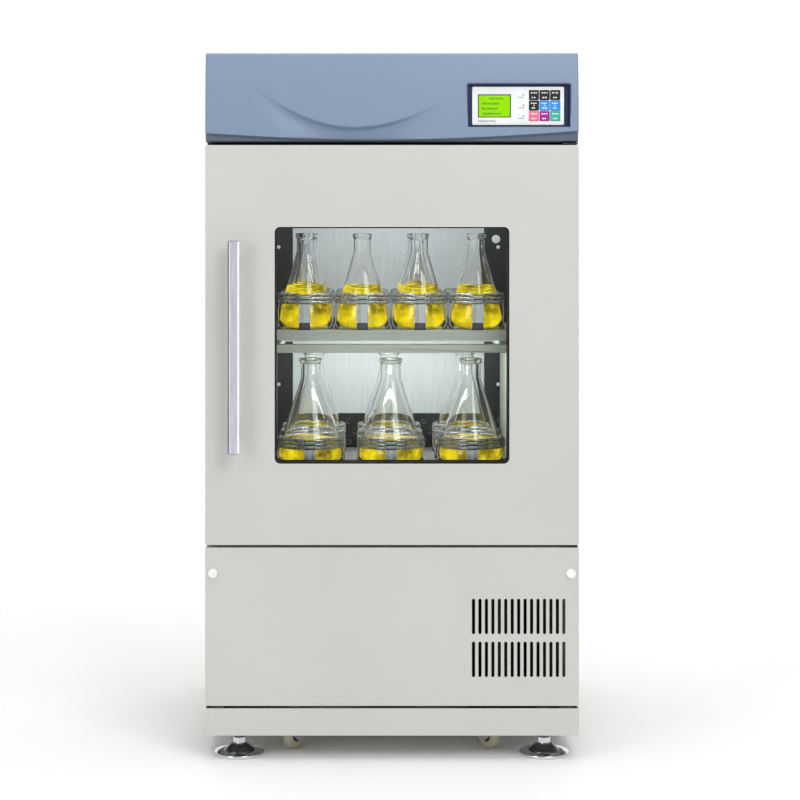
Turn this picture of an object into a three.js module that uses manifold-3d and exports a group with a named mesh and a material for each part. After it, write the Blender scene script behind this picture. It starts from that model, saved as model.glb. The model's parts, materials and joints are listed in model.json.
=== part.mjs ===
// A floor-standing, refrigerated incubator shaker with two trays in one glazed chamber.
// Units are millimetres: +X to the user's right, +Y to the rear, +Z up.
// The origin is on the floor, at the centre of the footprint, with the handle counted in the depth.
//
// Everything rests on a welded base frame. Its deck carries three crank bearings, and the cranks carry
// an orbiting carriage with both trays. The chamber liner, its foam and the casing stand on the deck.

import * as THREE from "three";
import { mergeVertices } from "three/addons/utils/BufferGeometryUtils.js";
import Module from "manifold-3d";

const wasm = await Module();
wasm.setup();

// --- Driving dimensions -------------------------------------------------------------------------

const width = 740;
const depth = 680; // door face to rear panel
const height = 1400;
const handleReach = 46; // door face to the front of the grip
const gap = 0.3; // air left between parts that touch
const sheet = 1.5; // folded sheet metal
const orbitRadius = 13; // half of the shaking amplitude

const halfWidth = width / 2;
const rearY = (depth + handleReach) / 2;
const frontY = rearY - depth;

// Heights of the horizontal bands of the front, bottom to top.
const skirt = { bottom: 48, top: 102 };
const lowerPanel = { bottom: 107, top: 420 };
const door = { bottom: 425, top: 1217, thickness: 50, innerDepth: 32 };
const head = { bottom: 1223.2, top: height };

const floorPlate = { bottom: 76, top: 80 };
const deck = { bottom: 432, top: 444, halfX: 366, front: frontY + 65, rear: rearY - 7 };
const shell = { front: frontY + 55, rear: rearY - 1.8, bottom: skirt.top + 1 };

const chamber = { halfX: 312, front: frontY + 61, rear: 300, floor: 470, ceiling: 1185 };
const flange = { halfX: 366, bottom: 428, top: 1215 };
const duct = { front: 236, thickness: 2 };
const ductCoverPlate = { halfX: 216, bottom: 635, top: 1165, thickness: 3.2, radius: 4 };

const windowFrame = { halfX: 232.5, bottom: 586, top: 1055, radius: 10 };
const glass = { inset: 1.2, thickness: 4 };

// Axes of the three cranks. Each eccentric pin stands one orbit radius behind its axis at rest.
const mainAxis = { x: 0, y: 60 };
const idlerAxes = { left: { x: -190, y: -120 }, right: { x: 190, y: -120 } };
const crankAxes = [mainAxis, idlerAxes.left, idlerAxes.right];
const bearing = { bore: 16, outside: 30, top: 466 };
const shaftRadius = 15;
const web = { bottom: 476, top: 488, radius: 36 };
const pin = { radius: 10, top: 530, bore: 10.6 };

const pulley = { radius: 110, flange: 116, bottom: 394, beltBottom: 398.5, beltTop: 413.5, top: 418 };
const motor = { x: -215, y: 205, radius: 55, pulleyRadius: 27.5, bottom: 250, top: 386 };

// The carriage in its rest position.
const carriage = { halfX: 249.7, front: -214, rear: 216, bottom: 514, top: 531, hubBottom: 494 };
const rack = { inner: 250, outer: 254, beamBottom: 799, beamTop: 816, beamDepth: 25 };
const trays = {
  lower: { halfX: 249, top: 560, footZ: carriage.top },
  upper: { halfX: 256, top: 845, footZ: rack.beamTop },
};
const traySkirt = 21;
const traySheet = 2;

// Flask clamps: one for each flask, in rows from the front of the tray.
const clamps = {
  upper: { columns: 4, pitchX: 117.5, rows: [-152, -17, 118], flaskRadius: 52.5, height: 64 },
  lower: { columns: 3, pitchX: 165.6, rows: [-139, 1, 141], flaskRadius: 65.5, height: 58 },
};

const feet = { x: 305, frontY: frontY + 50, rearY: 299, stemRadius: 9.2 };
const casters = { x: 210.7, frontY: frontY + 72, rearY: 285, wheelRadius: 25, axleZ: 27.5, trail: 18 };

const panelRecess = { left: 150, right: 353, bottom: 1252.5, top: 1338, floorY: frontY + 13 };
const facePlateEdges = { left: 159, right: 340.8, bottom: 1256.9, top: 1332.6, radius: 2 };
const keypad = { firstX: 281.3, firstZ: 1316, pitchX: 21.1, pitchZ: 20.8, size: 19.3 };
const screen = { left: 170.6, right: 235.3, bottom: 1272, top: 1317.1 };
const condenser = { left: 155, right: 333, front: -285, rear: -246, bottom: 145, top: 345 };
const condenserFan = { x: 244, z: 240, spindle: 4 };
const compressorAxis = { x: 180, y: 215 };
const evaporator = { halfX: 180, front: 243, rear: 281, bottom: 760, top: 1100, plate: 6 };
const circulationFan = { y: 264, z: 548, inlet: 70, radius: 62, spindle: 6 };
const knobs = { x: 354.5, z: 369.5, headRadius: 9.5, shank: 3.2, hole: 4.2 };
const handle = { x: -311, halfX: 11, depth: 16, bottom: 609, top: 1028, standoffs: [649, 984] };
const hingeAxis = { x: 355, y: frontY + 15, pin: 5, hole: 5.8 };
const mainsSwitch = {
  y: -180,
  z: 1310,
  halfY: 11,
  halfZ: 11,
  openHalfY: 12,
  openHalfZ: 14,
  pivotX: 362,
  pivotRadius: 1.5,
};

// --- Solids -------------------------------------------------------------------------------------

// A closed geometry as a manifold-3d solid, with its faces turned outwards.
function solid(geometry) {
  const bare = geometry.clone();
  bare.deleteAttribute("normal");
  bare.deleteAttribute("uv");
  const merged = mergeVertices(bare, 1e-4);
  const corners = merged.index.array;
  const kept = [];
  for (let i = 0; i < corners.length; i += 3) {
    const [a, b, c] = [corners[i], corners[i + 1], corners[i + 2]];
    if (a !== b && b !== c && c !== a) kept.push(a, b, c);
  }
  const make = (triangles) =>
    new wasm.Manifold(
      new wasm.Mesh({
        numProp: 3,
        vertProperties: merged.attributes.position.array,
        triVerts: new Uint32Array(triangles),
      }),
    );
  const made = make(kept);
  return made.volume() < 0 ? make(kept.reverse()) : made;
}

// The three.js geometry of a manifold-3d solid.
function geometryOf(body) {
  const mesh = body.getMesh();
  const geometry = new THREE.BufferGeometry();
  geometry.setAttribute("position", new THREE.BufferAttribute(mesh.vertProperties, 3));
  geometry.setIndex(new THREE.BufferAttribute(mesh.triVerts, 1));
  geometry.computeVertexNormals();
  return geometry;
}

function union(bodies) {
  return bodies.reduce((joined, body) => joined.add(body));
}

function cut(body, tools) {
  return tools.reduce((left, tool) => left.subtract(tool), body);
}

function block(x0, x1, y0, y1, z0, z1) {
  const box = new THREE.BoxGeometry(x1 - x0, y1 - y0, z1 - z0);
  return solid(box.translate((x0 + x1) / 2, (y0 + y1) / 2, (z0 + z1) / 2));
}

function post(radius, z0, z1, x = 0, y = 0, sides = 18) {
  const cylinder = new THREE.CylinderGeometry(radius, radius, z1 - z0, sides);
  return solid(cylinder.rotateX(Math.PI / 2).translate(x, y, (z0 + z1) / 2));
}

function rodAlongY(radius, y0, y1, x, z, sides = 16) {
  const cylinder = new THREE.CylinderGeometry(radius, radius, y1 - y0, sides);
  return solid(cylinder.translate(x, (y0 + y1) / 2, z));
}

function rodAlongX(radius, x0, x1, y, z, sides = 12) {
  const cylinder = new THREE.CylinderGeometry(radius, radius, x1 - x0, sides);
  return solid(cylinder.rotateZ(Math.PI / 2).translate((x0 + x1) / 2, y, z));
}

// A shape drawn in X and Z, extruded from y0 back to y1.
function facePlate(shape, y0, y1, curveSegments = 1) {
  const options = { depth: y1 - y0, bevelEnabled: false, curveSegments };
  return solid(new THREE.ExtrudeGeometry(shape, options).rotateX(Math.PI / 2).translate(0, y1, 0));
}

// A shape drawn in X and Y, extruded from z0 up to z1.
function flatPlate(shape, z0, z1, curveSegments = 1) {
  const options = { depth: z1 - z0, bevelEnabled: false, curveSegments };
  return solid(new THREE.ExtrudeGeometry(shape, options).translate(0, 0, z0));
}

// A shape drawn in Y and Z, extruded from x0 to x1.
function sidePlate(shape, x0, x1) {
  const options = { depth: x1 - x0, bevelEnabled: false, curveSegments: 3 };
  const axes = new THREE.Matrix4().makeBasis(
    new THREE.Vector3(0, 1, 0),
    new THREE.Vector3(0, 0, 1),
    new THREE.Vector3(1, 0, 0),
  );
  return solid(new THREE.ExtrudeGeometry(shape, options).applyMatrix4(axes).translate(x0, 0, 0));
}

// A profile of [radius, height] points that starts and ends on the axis, turned about Z.
function turned(profile, sides = 16) {
  const points = profile.map(([radius, z]) => new THREE.Vector2(radius, z));
  return solid(new THREE.LatheGeometry(points, sides).rotateX(Math.PI / 2));
}

// --- Outlines -----------------------------------------------------------------------------------

function roundedRectangle(x0, x1, y0, y1, radius) {
  const shape = new THREE.Shape();
  shape.absarc(x1 - radius, y0 + radius, radius, -Math.PI / 2, 0);
  shape.absarc(x1 - radius, y1 - radius, radius, 0, Math.PI / 2);
  shape.absarc(x0 + radius, y1 - radius, radius, Math.PI / 2, Math.PI);
  shape.absarc(x0 + radius, y0 + radius, radius, Math.PI, Math.PI * 1.5);
  shape.closePath();
  return shape;
}

function rectangle(x0, x1, y0, y1) {
  return polygon([[x0, y0], [x1, y0], [x1, y1], [x0, y1]]);
}

function polygon(points) {
  return new THREE.Shape(points.map(([x, y]) => new THREE.Vector2(x, y)));
}

// A regular octagon with two of its sides across X and two across Y.
function octagon(halfAcross) {
  const short = halfAcross * Math.tan(Math.PI / 8);
  const quarter = [[halfAcross, -short], [halfAcross, short]];
  const turns = [
    ([x, y]) => [x, y],
    ([x, y]) => [-y, x],
    ([x, y]) => [-x, -y],
    ([x, y]) => [y, -x],
  ];
  return polygon(turns.flatMap((turn) => quarter.map(turn)));
}

// The door window's outline, grown outwards by an offset.
function windowOutline(offset) {
  return roundedRectangle(
    -windowFrame.halfX - offset,
    windowFrame.halfX + offset,
    windowFrame.bottom - offset,
    windowFrame.top + offset,
    windowFrame.radius + offset,
  );
}

function frameOutline(outer, hole) {
  outer.holes.push(hole);
  return outer;
}

// --- Parts --------------------------------------------------------------------------------------

const colours = {
  cream: { color: 0xd3d3cc, roughness: 0.5, metalness: 0 },
  hood: { color: 0x8395b5, roughness: 0.45, metalness: 0 },
  steel: { color: 0xb9bcc0, roughness: 0.3, metalness: 1 },
  zinc: { color: 0xa9adb0, roughness: 0.4, metalness: 1 },
  chrome: { color: 0xd8dadd, roughness: 0.12, metalness: 1 },
  anodised: { color: 0xd6d6e2, roughness: 0.3, metalness: 0.8 },
  black: { color: 0x1b1c1e, roughness: 0.6, metalness: 0 },
  rubber: { color: 0x202123, roughness: 0.8, metalness: 0 },
  foam: { color: 0xe5dcb4, roughness: 0.9, metalness: 0 },
  white: { color: 0xf1f1ee, roughness: 0.4, metalness: 0 },
  ivory: { color: 0xc9c3a5, roughness: 0.5, metalness: 0 },
  castIron: { color: 0x55585c, roughness: 0.6, metalness: 0.8 },
  lcd: { color: 0x97d800, roughness: 0.3, metalness: 0 },
  keyBlack: { color: 0x111216, roughness: 0.4, metalness: 0 },
  keyBlue: { color: 0x2b8fe0, roughness: 0.4, metalness: 0 },
  keyPink: { color: 0xf0708f, roughness: 0.4, metalness: 0 },
  keyMagenta: { color: 0xa3138f, roughness: 0.4, metalness: 0 },
  keyTeal: { color: 0x2fae96, roughness: 0.4, metalness: 0 },
};

function material(name) {
  return new THREE.MeshStandardMaterial(colours[name]);
}

const clearGlass = new THREE.MeshStandardMaterial({
  color: 0xdcebe4,
  roughness: 0.05,
  metalness: 0,
  transparent: true,
  opacity: 0.3,
});

function part(name, body, finish) {
  const mesh = new THREE.Mesh(geometryOf(body), finish);
  mesh.name = name;
  return mesh;
}

function assembly(...members) {
  const group = new THREE.Group();
  group.add(...members);
  return group;
}

// Welded base: a folded skirt round a floor plate, four posts and the bearing deck.
function baseFrame() {
  const wall = 2.5;
  const rear = shell.rear;
  const ring = cut(block(-halfWidth, halfWidth, frontY, rear, skirt.bottom, skirt.top), [
    block(
      wall - halfWidth,
      halfWidth - wall,
      frontY + wall,
      rear - wall,
      skirt.bottom - 1,
      skirt.top + 1,
    ),
  ]);
  const plate = block(
    -halfWidth + 1,
    halfWidth - 1,
    frontY + 1,
    rear - 1,
    floorPlate.bottom,
    floorPlate.top,
  );
  const stemHoles = footPlaces().map(({ x, y }) => post(feet.stemRadius + gap, 70, 90, x, y, 24));
  const deckPlate = block(-deck.halfX, deck.halfX, deck.front, deck.rear, deck.bottom, deck.top);
  const postSize = 30;
  const posts = [-1, 1].flatMap((side) => {
    const [x0, x1] = [side * (deck.halfX - postSize), side * deck.halfX].sort((a, b) => a - b);
    return [deck.front, deck.rear - postSize].map((y) =>
      block(x0, x1, y, y + postSize, floorPlate.bottom + 1, deck.bottom + 1),
    );
  });
  const housings = crankAxes.map(({ x, y }) => post(bearing.outside, deck.top - 1, bearing.top, x, y));
  const bores = crankAxes.map(({ x, y }) => post(bearing.bore, 420, 480, x, y));
  return cut(union([ring, plate, deckPlate, ...posts, ...housings]), [...stemHoles, ...bores]);
}

// Sides and top, bent from one sheet, with a collar and pivot for the mains switch.
function cabinetShell() {
  const inner = halfWidth - sheet;
  const wrap = polygon([
    [-halfWidth, shell.bottom],
    [-inner, shell.bottom],
    [-inner, height - sheet],
    [inner, height - sheet],
    [inner, shell.bottom],
    [halfWidth, shell.bottom],
    [halfWidth, height],
    [-halfWidth, height],
  ]);
  const { y, z, openHalfY, openHalfZ, pivotX, pivotRadius } = mainsSwitch;
  const opening = block(340, 380, y - openHalfY, y + openHalfY, z - openHalfZ, z + openHalfZ);
  const collar = block(
    352,
    inner + 0.5,
    y - openHalfY - 2,
    y + openHalfY + 2,
    z - openHalfZ - 2,
    z + openHalfZ + 2,
  );
  const pivot = rodAlongY(pivotRadius, y - openHalfY - 1, y + openHalfY + 1, pivotX, z, 8);
  return cut(facePlate(wrap, shell.front, shell.rear).add(collar), [opening]).add(pivot);
}

// A horizontal slot with round ends, as a hole in a face plate.
function slotAcross(x0, x1, z, slotHeight) {
  return roundedRectangle(x0, x1, z - slotHeight / 2, z + slotHeight / 2, slotHeight / 2);
}

function rearPanel() {
  const edge = halfWidth - 1.8;
  const outline = rectangle(-edge, edge, shell.bottom, height - 1.8);
  const slotRows = 5;
  for (let row = 0; row < slotRows; row += 1) {
    for (const x of [-270, 50]) outline.holes.push(slotAcross(x, x + 220, 160 + row * 40, 10));
  }
  return facePlate(outline, rearY - sheet, rearY);
}

// Stainless box, open to the front, with a flange for the door seal and a spindle for the fan.
function chamberLiner() {
  const { halfX, front, rear, floor, ceiling } = chamber;
  const tank = cut(
    block(-halfX - sheet, halfX + sheet, front, rear + sheet, floor - sheet, ceiling + sheet),
    [block(-halfX, halfX, front - 10, rear, floor, ceiling)],
  );
  const outline = frameOutline(
    rectangle(-flange.halfX, flange.halfX, flange.bottom, flange.top),
    rectangle(-halfX, halfX, floor, ceiling),
  );
  const fanSpindle = rodAlongY(circulationFan.spindle, circulationFan.y - 2, rear + 1, 0, circulationFan.z);
  const shaftHoles = crankAxes.map(({ x, y }) => post(20, floor - 10, floor + 5, x, y));
  return cut(union([tank, facePlate(outline, front, front + sheet), fanSpindle]), shaftHoles);
}

function insulationFoam() {
  const inset = sheet + gap;
  const { halfX, front, rear, floor, ceiling } = chamber;
  const bulk = block(-flange.halfX, flange.halfX, front + inset, rearY - 5, deck.top + 2, flange.top - 1);
  const cavity = block(
    -halfX - inset,
    halfX + inset,
    front - 10,
    rear + inset,
    floor - inset,
    ceiling + inset,
  );
  const housingHoles = crankAxes.map(({ x, y }) => post(bearing.outside + 1, deck.top, floor, x, y));
  return cut(bulk, [cavity, ...housingHoles]);
}

// Black partition in front of the evaporator, with the fan's round inlet.
function airDuctPanel() {
  const { halfX, floor, ceiling } = chamber;
  const edge = 0.5;
  const outline = rectangle(-halfX + edge, halfX - edge, floor + edge, ceiling - edge);
  const inlet = new THREE.Path();
  inlet.absarc(0, circulationFan.z, circulationFan.inlet, 0, Math.PI * 2);
  outline.holes.push(inlet);
  const options = { depth: duct.thickness, bevelEnabled: false, curveSegments: 16 };
  const plate = new THREE.ExtrudeGeometry(outline, options).rotateX(Math.PI / 2);
  return solid(plate.translate(0, duct.front + duct.thickness, 0));
}

function ductCover() {
  const { halfX, bottom, top, thickness, radius } = ductCoverPlate;
  const back = duct.front - gap;
  return facePlate(roundedRectangle(-halfX, halfX, bottom, top, radius), back - thickness, back);
}

// The moulded hood's cross-section, shrunk inwards by an offset.
function hoodProfile(offset) {
  const back = shell.front - gap;
  const shape = new THREE.Shape();
  shape.moveTo(back + offset, head.bottom + offset);
  shape.lineTo(frontY + 14 + offset, head.bottom + offset);
  shape.lineTo(frontY + 1 + offset, head.bottom + 7 + offset);
  shape.lineTo(frontY - 2 + offset, head.bottom + 18 + offset);
  shape.quadraticCurveTo(frontY + offset, 1330, frontY + 11 + offset, height - 8 - offset);
  shape.lineTo(frontY + 19 + offset, head.top - offset);
  shape.lineTo(back + offset, head.top - offset);
  shape.closePath();
  return shape;
}

function headFascia() {
  const wall = 3;
  const { left, right, bottom, top, floorY } = panelRecess;
  const bulk = sidePlate(hoodProfile(0), -halfWidth, halfWidth);
  const hollow = sidePlate(hoodProfile(wall), wall - halfWidth, halfWidth - wall);
  const boxed = block(
    left - wall,
    right + wall,
    frontY - 10,
    floorY + wall,
    bottom - wall,
    top + wall,
  ).intersect(bulk);
  const recess = block(left, right, frontY - 20, floorY, bottom, top);
  return cut(cut(bulk, [hollow]).add(boxed), [recess]);
}

const plateFront = panelRecess.floorY - 8;

function controlPlate() {
  const plateRear = panelRecess.floorY - gap;
  const play = 0.4;
  const { left, right, bottom, top } = screen;
  const opening = (x0, x1, z0, z1) => block(x0, x1, plateFront - 5, plateRear + 5, z0, z1);
  const half = keypad.size / 2 + play;
  const keyHoles = keyPlaces().map(({ x, z }) => opening(x - half, x + half, z - half, z + half));
  const screenHole = opening(left - play, right + play, bottom - play, top + play);
  const edges = facePlateEdges;
  const outline = roundedRectangle(edges.left, edges.right, edges.bottom, edges.top, edges.radius);
  return cut(facePlate(outline, plateFront, plateRear), [screenHole, ...keyHoles]);
}

function lcdDisplay() {
  const { left, right, bottom, top } = screen;
  return block(left, right, plateFront + 0.7, panelRecess.floorY - 1, bottom, top);
}

// The nine keys, in reading order.
function keyPlaces() {
  const finishes = [
    ["keyBlack", "keyBlack", "keyBlack"],
    ["keyBlack", "keyBlue", "keyBlue"],
    ["keyPink", "keyMagenta", "keyTeal"],
  ];
  return finishes.flatMap((row, r) =>
    row.map((finish, c) => ({
      name: `key_${r + 1}_${c + 1}`,
      x: keypad.firstX + c * keypad.pitchX,
      z: keypad.firstZ - r * keypad.pitchZ,
      finish,
    })),
  );
}

function keys() {
  const half = keypad.size / 2;
  const cap = facePlate(roundedRectangle(-half, half, -half, half, 1.6), plateFront - 0.8, plateFront + 4);
  return keyPlaces().map(({ name, x, z, finish }) => {
    const key = part(name, cap, material(finish));
    key.position.set(x, 0, z);
    return key;
  });
}

// Folded cover of the machine compartment, with two rows of air slots.
function lowerFrontPanel() {
  const { bottom, top } = lowerPanel;
  const slots = { count: 15, firstX: 161.3, pitch: 12.77, halfWidth: 3 };
  const rows = [[249, 319], [164, 234]];
  const outline = rectangle(-halfWidth, halfWidth, bottom, top);
  for (const [z0, z1] of rows) {
    for (let i = 0; i < slots.count; i += 1) {
      const x = slots.firstX + i * slots.pitch;
      const w = slots.halfWidth;
      outline.holes.push(roundedRectangle(x - w, x + w, z0, z1, w));
    }
  }
  const inner = halfWidth - sheet;
  const rim = frameOutline(
    rectangle(-halfWidth, halfWidth, bottom, top),
    rectangle(-inner, inner, bottom + sheet, top - sheet),
  );
  const screwHoles = [-1, 1].map((side) =>
    rodAlongY(knobs.hole, frontY - 5, frontY + 5, side * knobs.x, knobs.z, 12),
  );
  const stemNotches = [-1, 1].map((side) =>
    post(feet.stemRadius + 3, bottom - 1, bottom + sheet + 1, side * feet.x, feet.frontY),
  );
  const pan = facePlate(outline, frontY, frontY + sheet).add(facePlate(rim, frontY, frontY + 53));
  return cut(pan, [...screwHoles, ...stemNotches]);
}

function panelKnob(side) {
  const headBack = frontY - gap;
  const head = rodAlongY(knobs.headRadius, headBack - 6, headBack, 0, 0);
  const shank = rodAlongY(knobs.shank, headBack - 1, shell.front - 3, 0, 0, 12);
  const cam = block(-7, 7, shell.front - 6, shell.front - 3, -3, 3);
  const name = side < 0 ? "panel_knob_left" : "panel_knob_right";
  const knob = part(name, union([head, shank, cam]), material("white"));
  knob.position.set(side * knobs.x, 0, knobs.z);
  return knob;
}

// A pivot hinge: a plate in the gap above or below the door, a screw tab and the pivot pin.
function pivotHinge(plateBottom, plateTop, tabZ, pinZ) {
  const tabFront = chamber.front - gap - 2.4;
  const plate = block(338, 368.3, frontY + 3, chamber.front - gap, plateBottom, plateTop);
  const tab = block(341, 366, tabFront, chamber.front - gap, tabZ[0], tabZ[1]);
  const pivot = post(hingeAxis.pin, pinZ[0], pinZ[1], hingeAxis.x, hingeAxis.y, 16);
  return union([plate, tab, pivot]);
}

// Hermetic compressor on its foot plate, piped out at the top.
function compressor() {
  const profile = [
    [0, 86],
    [66, 86],
    [76, 98],
    [78, 165],
    [72, 208],
    [44, 236],
    [0, 243],
  ];
  const can = turned(profile, 20);
  const footPlate = block(-80, 80, -60, 60, floorPlate.top + gap, 88);
  const discharge = rodAlongX(6, 60, 100, 0, 190);
  return union([can, footPlate, discharge]);
}

// Finned condenser with its fan cowl and fixed spindle, standing behind the air slots.
function condenserBlock() {
  const { left, right, front, rear, bottom, top } = condenser;
  const finCount = 12;
  const pitch = (right - left) / finCount;
  const grooves = [];
  for (let i = 0; i < finCount; i += 1) {
    const x = left + (i + 0.5) * pitch;
    grooves.push(block(x - 4, x + 4, front - 5, rear - 8, bottom + 12, top - 12));
  }
  const core = cut(block(left, right, front, rear, bottom, top), grooves);
  const cowl = block(left, right, rear - 1, rear + 6, bottom, top);
  const leg = block(left, 290, rear - 1, rear + 6, floorPlate.top + gap, bottom + 1);
  const { x, z } = condenserFan;
  const opening = rodAlongY(82, rear - 2, rear + 8, x, z, 24);
  const bar = block(left + 2, right - 2, rear - 1, rear + 5, z - 9, z + 9);
  const spindle = rodAlongY(condenserFan.spindle, rear, rear + 34, x, z, 16);
  return union([cut(core.add(cowl), [opening]), leg, bar, spindle]);
}

// Fan blades set at an angle round a hub, about the Y axis.
function bladesAboutY(count, inner, outer, thickness, chord, pitch) {
  const blades = [];
  for (let i = 0; i < count; i += 1) {
    const blade = new THREE.BoxGeometry(outer - inner, chord, thickness);
    blade.rotateX(pitch);
    blade.translate((inner + outer) / 2, 0, 0);
    blade.rotateY((i / count) * Math.PI * 2);
    blades.push(solid(blade));
  }
  return blades;
}

function condenserFanRotor() {
  const hub = rodAlongY(20, -9, 9, 0, 0);
  const bore = rodAlongY(condenserFan.spindle + 0.6, -20, 20, 0, 0, 16);
  const blades = bladesAboutY(5, 16, 76, 3, 20, 0.6);
  const rotor = part("condenser_fan", cut(union([hub, ...blades]), [bore]), material("black"));
  rotor.position.set(condenserFan.x, condenser.rear + 21, condenserFan.z);
  return rotor;
}

function circulationFanRotor() {
  const hub = rodAlongY(18, -18, 20, 0, 0);
  const bore = rodAlongY(circulationFan.spindle + 0.7, -4, 30, 0, 0);
  const backPlate = rodAlongY(circulationFan.radius, 15, 18, 0, 0, 24);
  const blades = bladesAboutY(8, 30, circulationFan.radius - 2, 3, 32, 0);
  const wheel = cut(union([hub, backPlate, ...blades]), [bore]);
  const rotor = part("circulation_fan", wheel, material("black"));
  rotor.position.set(0, circulationFan.y, circulationFan.z);
  return rotor;
}

// Finned coil with heater rods along its back, hung on two end plates behind the partition.
function evaporatorCoil() {
  const { halfX, front, rear, bottom, top, plate } = evaporator;
  const core = block(-halfX, halfX, front, rear, bottom, top);
  const finCount = 9;
  const pitch = (2 * halfX) / finCount;
  const grooveHalf = 16;
  const grooves = [];
  for (let i = 0; i < finCount; i += 1) {
    const x = -halfX + (i + 0.5) * pitch;
    grooves.push(block(x - grooveHalf, x + grooveHalf, front - 3, rear - 9, bottom + 12, top - 12));
  }
  const heaterReach = halfX + plate + 4;
  const heaterRods = [820, 930, 1040].map((z) => rodAlongX(6, -heaterReach, heaterReach, rear, z, 8));
  const endPlates = [-halfX - plate, halfX].map((x) =>
    block(x, x + plate, front, chamber.rear - gap, bottom - 10, top + 10),
  );
  return union([cut(core, grooves), ...heaterRods, ...endPlates]);
}

// Shaking motor, hung under the deck on four stand-offs.
function driveMotor() {
  const can = post(motor.radius, motor.bottom, motor.top + 1);
  const plate = block(-72, 72, -72, 72, motor.top, motor.top + 6);
  const standoffs = [-63, 63].flatMap((x) =>
    [-63, 63].map((y) => post(6, motor.top + 5, deck.bottom - gap, x, y, 12)),
  );
  const bore = post(10, motor.top - 50, motor.top + 10);
  return cut(union([can, plate, ...standoffs]), [bore]);
}

function motorPulley() {
  const profile = [
    [0, motor.top - 40],
    [9, motor.top - 40],
    [9, pulley.bottom],
    [31, pulley.bottom],
    [31, pulley.beltBottom],
    [motor.pulleyRadius, pulley.beltBottom],
    [motor.pulleyRadius, pulley.beltTop],
    [31, pulley.beltTop],
    [31, pulley.top],
    [0, pulley.top],
  ];
  return turned(profile);
}

// The belt's outline round both pulleys, grown outwards by an offset.
function beltLoop(offset) {
  const dx = motor.x - mainAxis.x;
  const dy = motor.y - mainAxis.y;
  const along = Math.atan2(dy, dx);
  const lean = Math.acos((pulley.radius - motor.pulleyRadius) / Math.hypot(dx, dy));
  const loop = new THREE.Shape();
  loop.absarc(mainAxis.x, mainAxis.y, pulley.radius + offset, along + lean, along - lean + Math.PI * 2);
  loop.absarc(motor.x, motor.y, motor.pulleyRadius + offset, along - lean, along + lean);
  loop.closePath();
  return loop;
}

function driveBelt() {
  const thickness = 4;
  const outline = frameOutline(beltLoop(1 + thickness), beltLoop(1));
  return flatPlate(outline, pulley.beltBottom + gap, pulley.beltTop - gap, 10);
}

// A counterweight: a sector on the side away from the eccentric pin.
function counterweight(radius) {
  const spread = 0.35;
  const outline = new THREE.Shape();
  outline.moveTo(0, 0);
  outline.absarc(0, 0, radius, Math.PI + spread, Math.PI * 2 - spread);
  outline.closePath();
  return flatPlate(outline, web.bottom, web.top, 5);
}

function crank(shaftBottom, counterweightRadius) {
  return union([
    post(shaftRadius, shaftBottom, web.top),
    post(web.radius, web.bottom, web.top),
    post(pin.radius, web.top - 1, pin.top, 0, orbitRadius),
    counterweight(counterweightRadius),
  ]);
}

function mainCrank() {
  const wheel = [
    post(pulley.flange, pulley.bottom, pulley.beltBottom, 0, 0, 32),
    post(pulley.radius, pulley.bottom, pulley.top, 0, 0, 32),
    post(pulley.flange, pulley.beltTop, pulley.top, 0, 0, 32),
  ];
  const body = part("main_crank", union([crank(pulley.bottom - 2, 78), ...wheel]), material("castIron"));
  body.position.set(mainAxis.x, mainAxis.y, 0);
  return body;
}

function idlerCrank(side) {
  const collar = post(22, deck.bottom - 10, deck.bottom - 4);
  const body = part(
    `idler_crank_${side}`,
    crank(deck.bottom - 12, 54).add(collar),
    material("castIron"),
  );
  body.position.set(idlerAxes[side].x, idlerAxes[side].y, 0);
  return body;
}

// Lower platform frame, with a bearing hub over each crank pin.
function carriageFrame() {
  const { halfX, front, rear, bottom, top, hubBottom } = carriage;
  const outline = rectangle(-halfX, halfX, front, rear);
  for (const side of [-1, 1]) {
    const [x0, x1] = side < 0 ? [-160, -28] : [28, 160];
    outline.holes.push(roundedRectangle(x0, x1, front + 40, rear - 40, 12));
  }
  const hubs = crankAxes.map(({ x, y }) => post(22, hubBottom, top, x, y + orbitRadius));
  const bores = crankAxes.map(({ x, y }) => post(pin.bore, hubBottom - 5, top + 5, x, y + orbitRadius));
  return cut(union([flatPlate(outline, bottom, top), ...hubs]), bores);
}

// Portal that carries the upper tray: two side plates and a top ring.
function upperRack() {
  const { front, rear, bottom } = carriage;
  const { inner, outer, beamBottom, beamTop, beamDepth } = rack;
  const side = frameOutline(
    rectangle(front, rear, bottom, beamTop),
    roundedRectangle(front + 54, 20, bottom + 66, beamBottom - 29, 14),
  );
  const plates = [sidePlate(side, -outer, -inner), sidePlate(side, inner, outer)];
  const ring = frameOutline(
    rectangle(-outer, outer, front, rear),
    rectangle(-outer + beamDepth, outer - beamDepth, front + beamDepth, rear - beamDepth),
  );
  return union([...plates, flatPlate(ring, beamBottom, beamTop)]);
}

// Inverted steel pan on four spacers.
function tray({ halfX, top, footZ }) {
  const { front, rear } = carriage;
  const t = traySheet;
  const pan = cut(block(-halfX, halfX, front, rear, top - traySkirt, top), [
    block(-halfX + t, halfX - t, front + t, rear - t, top - traySkirt - 1, top - t),
  ]);
  const spacers = [-halfX + 14, halfX - 14].flatMap((x) =>
    [front + 14, rear - 14].map((y) => post(8, footZ + gap, top - 1, x, y, 12)),
  );
  return union([pan, ...spacers]);
}

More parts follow.
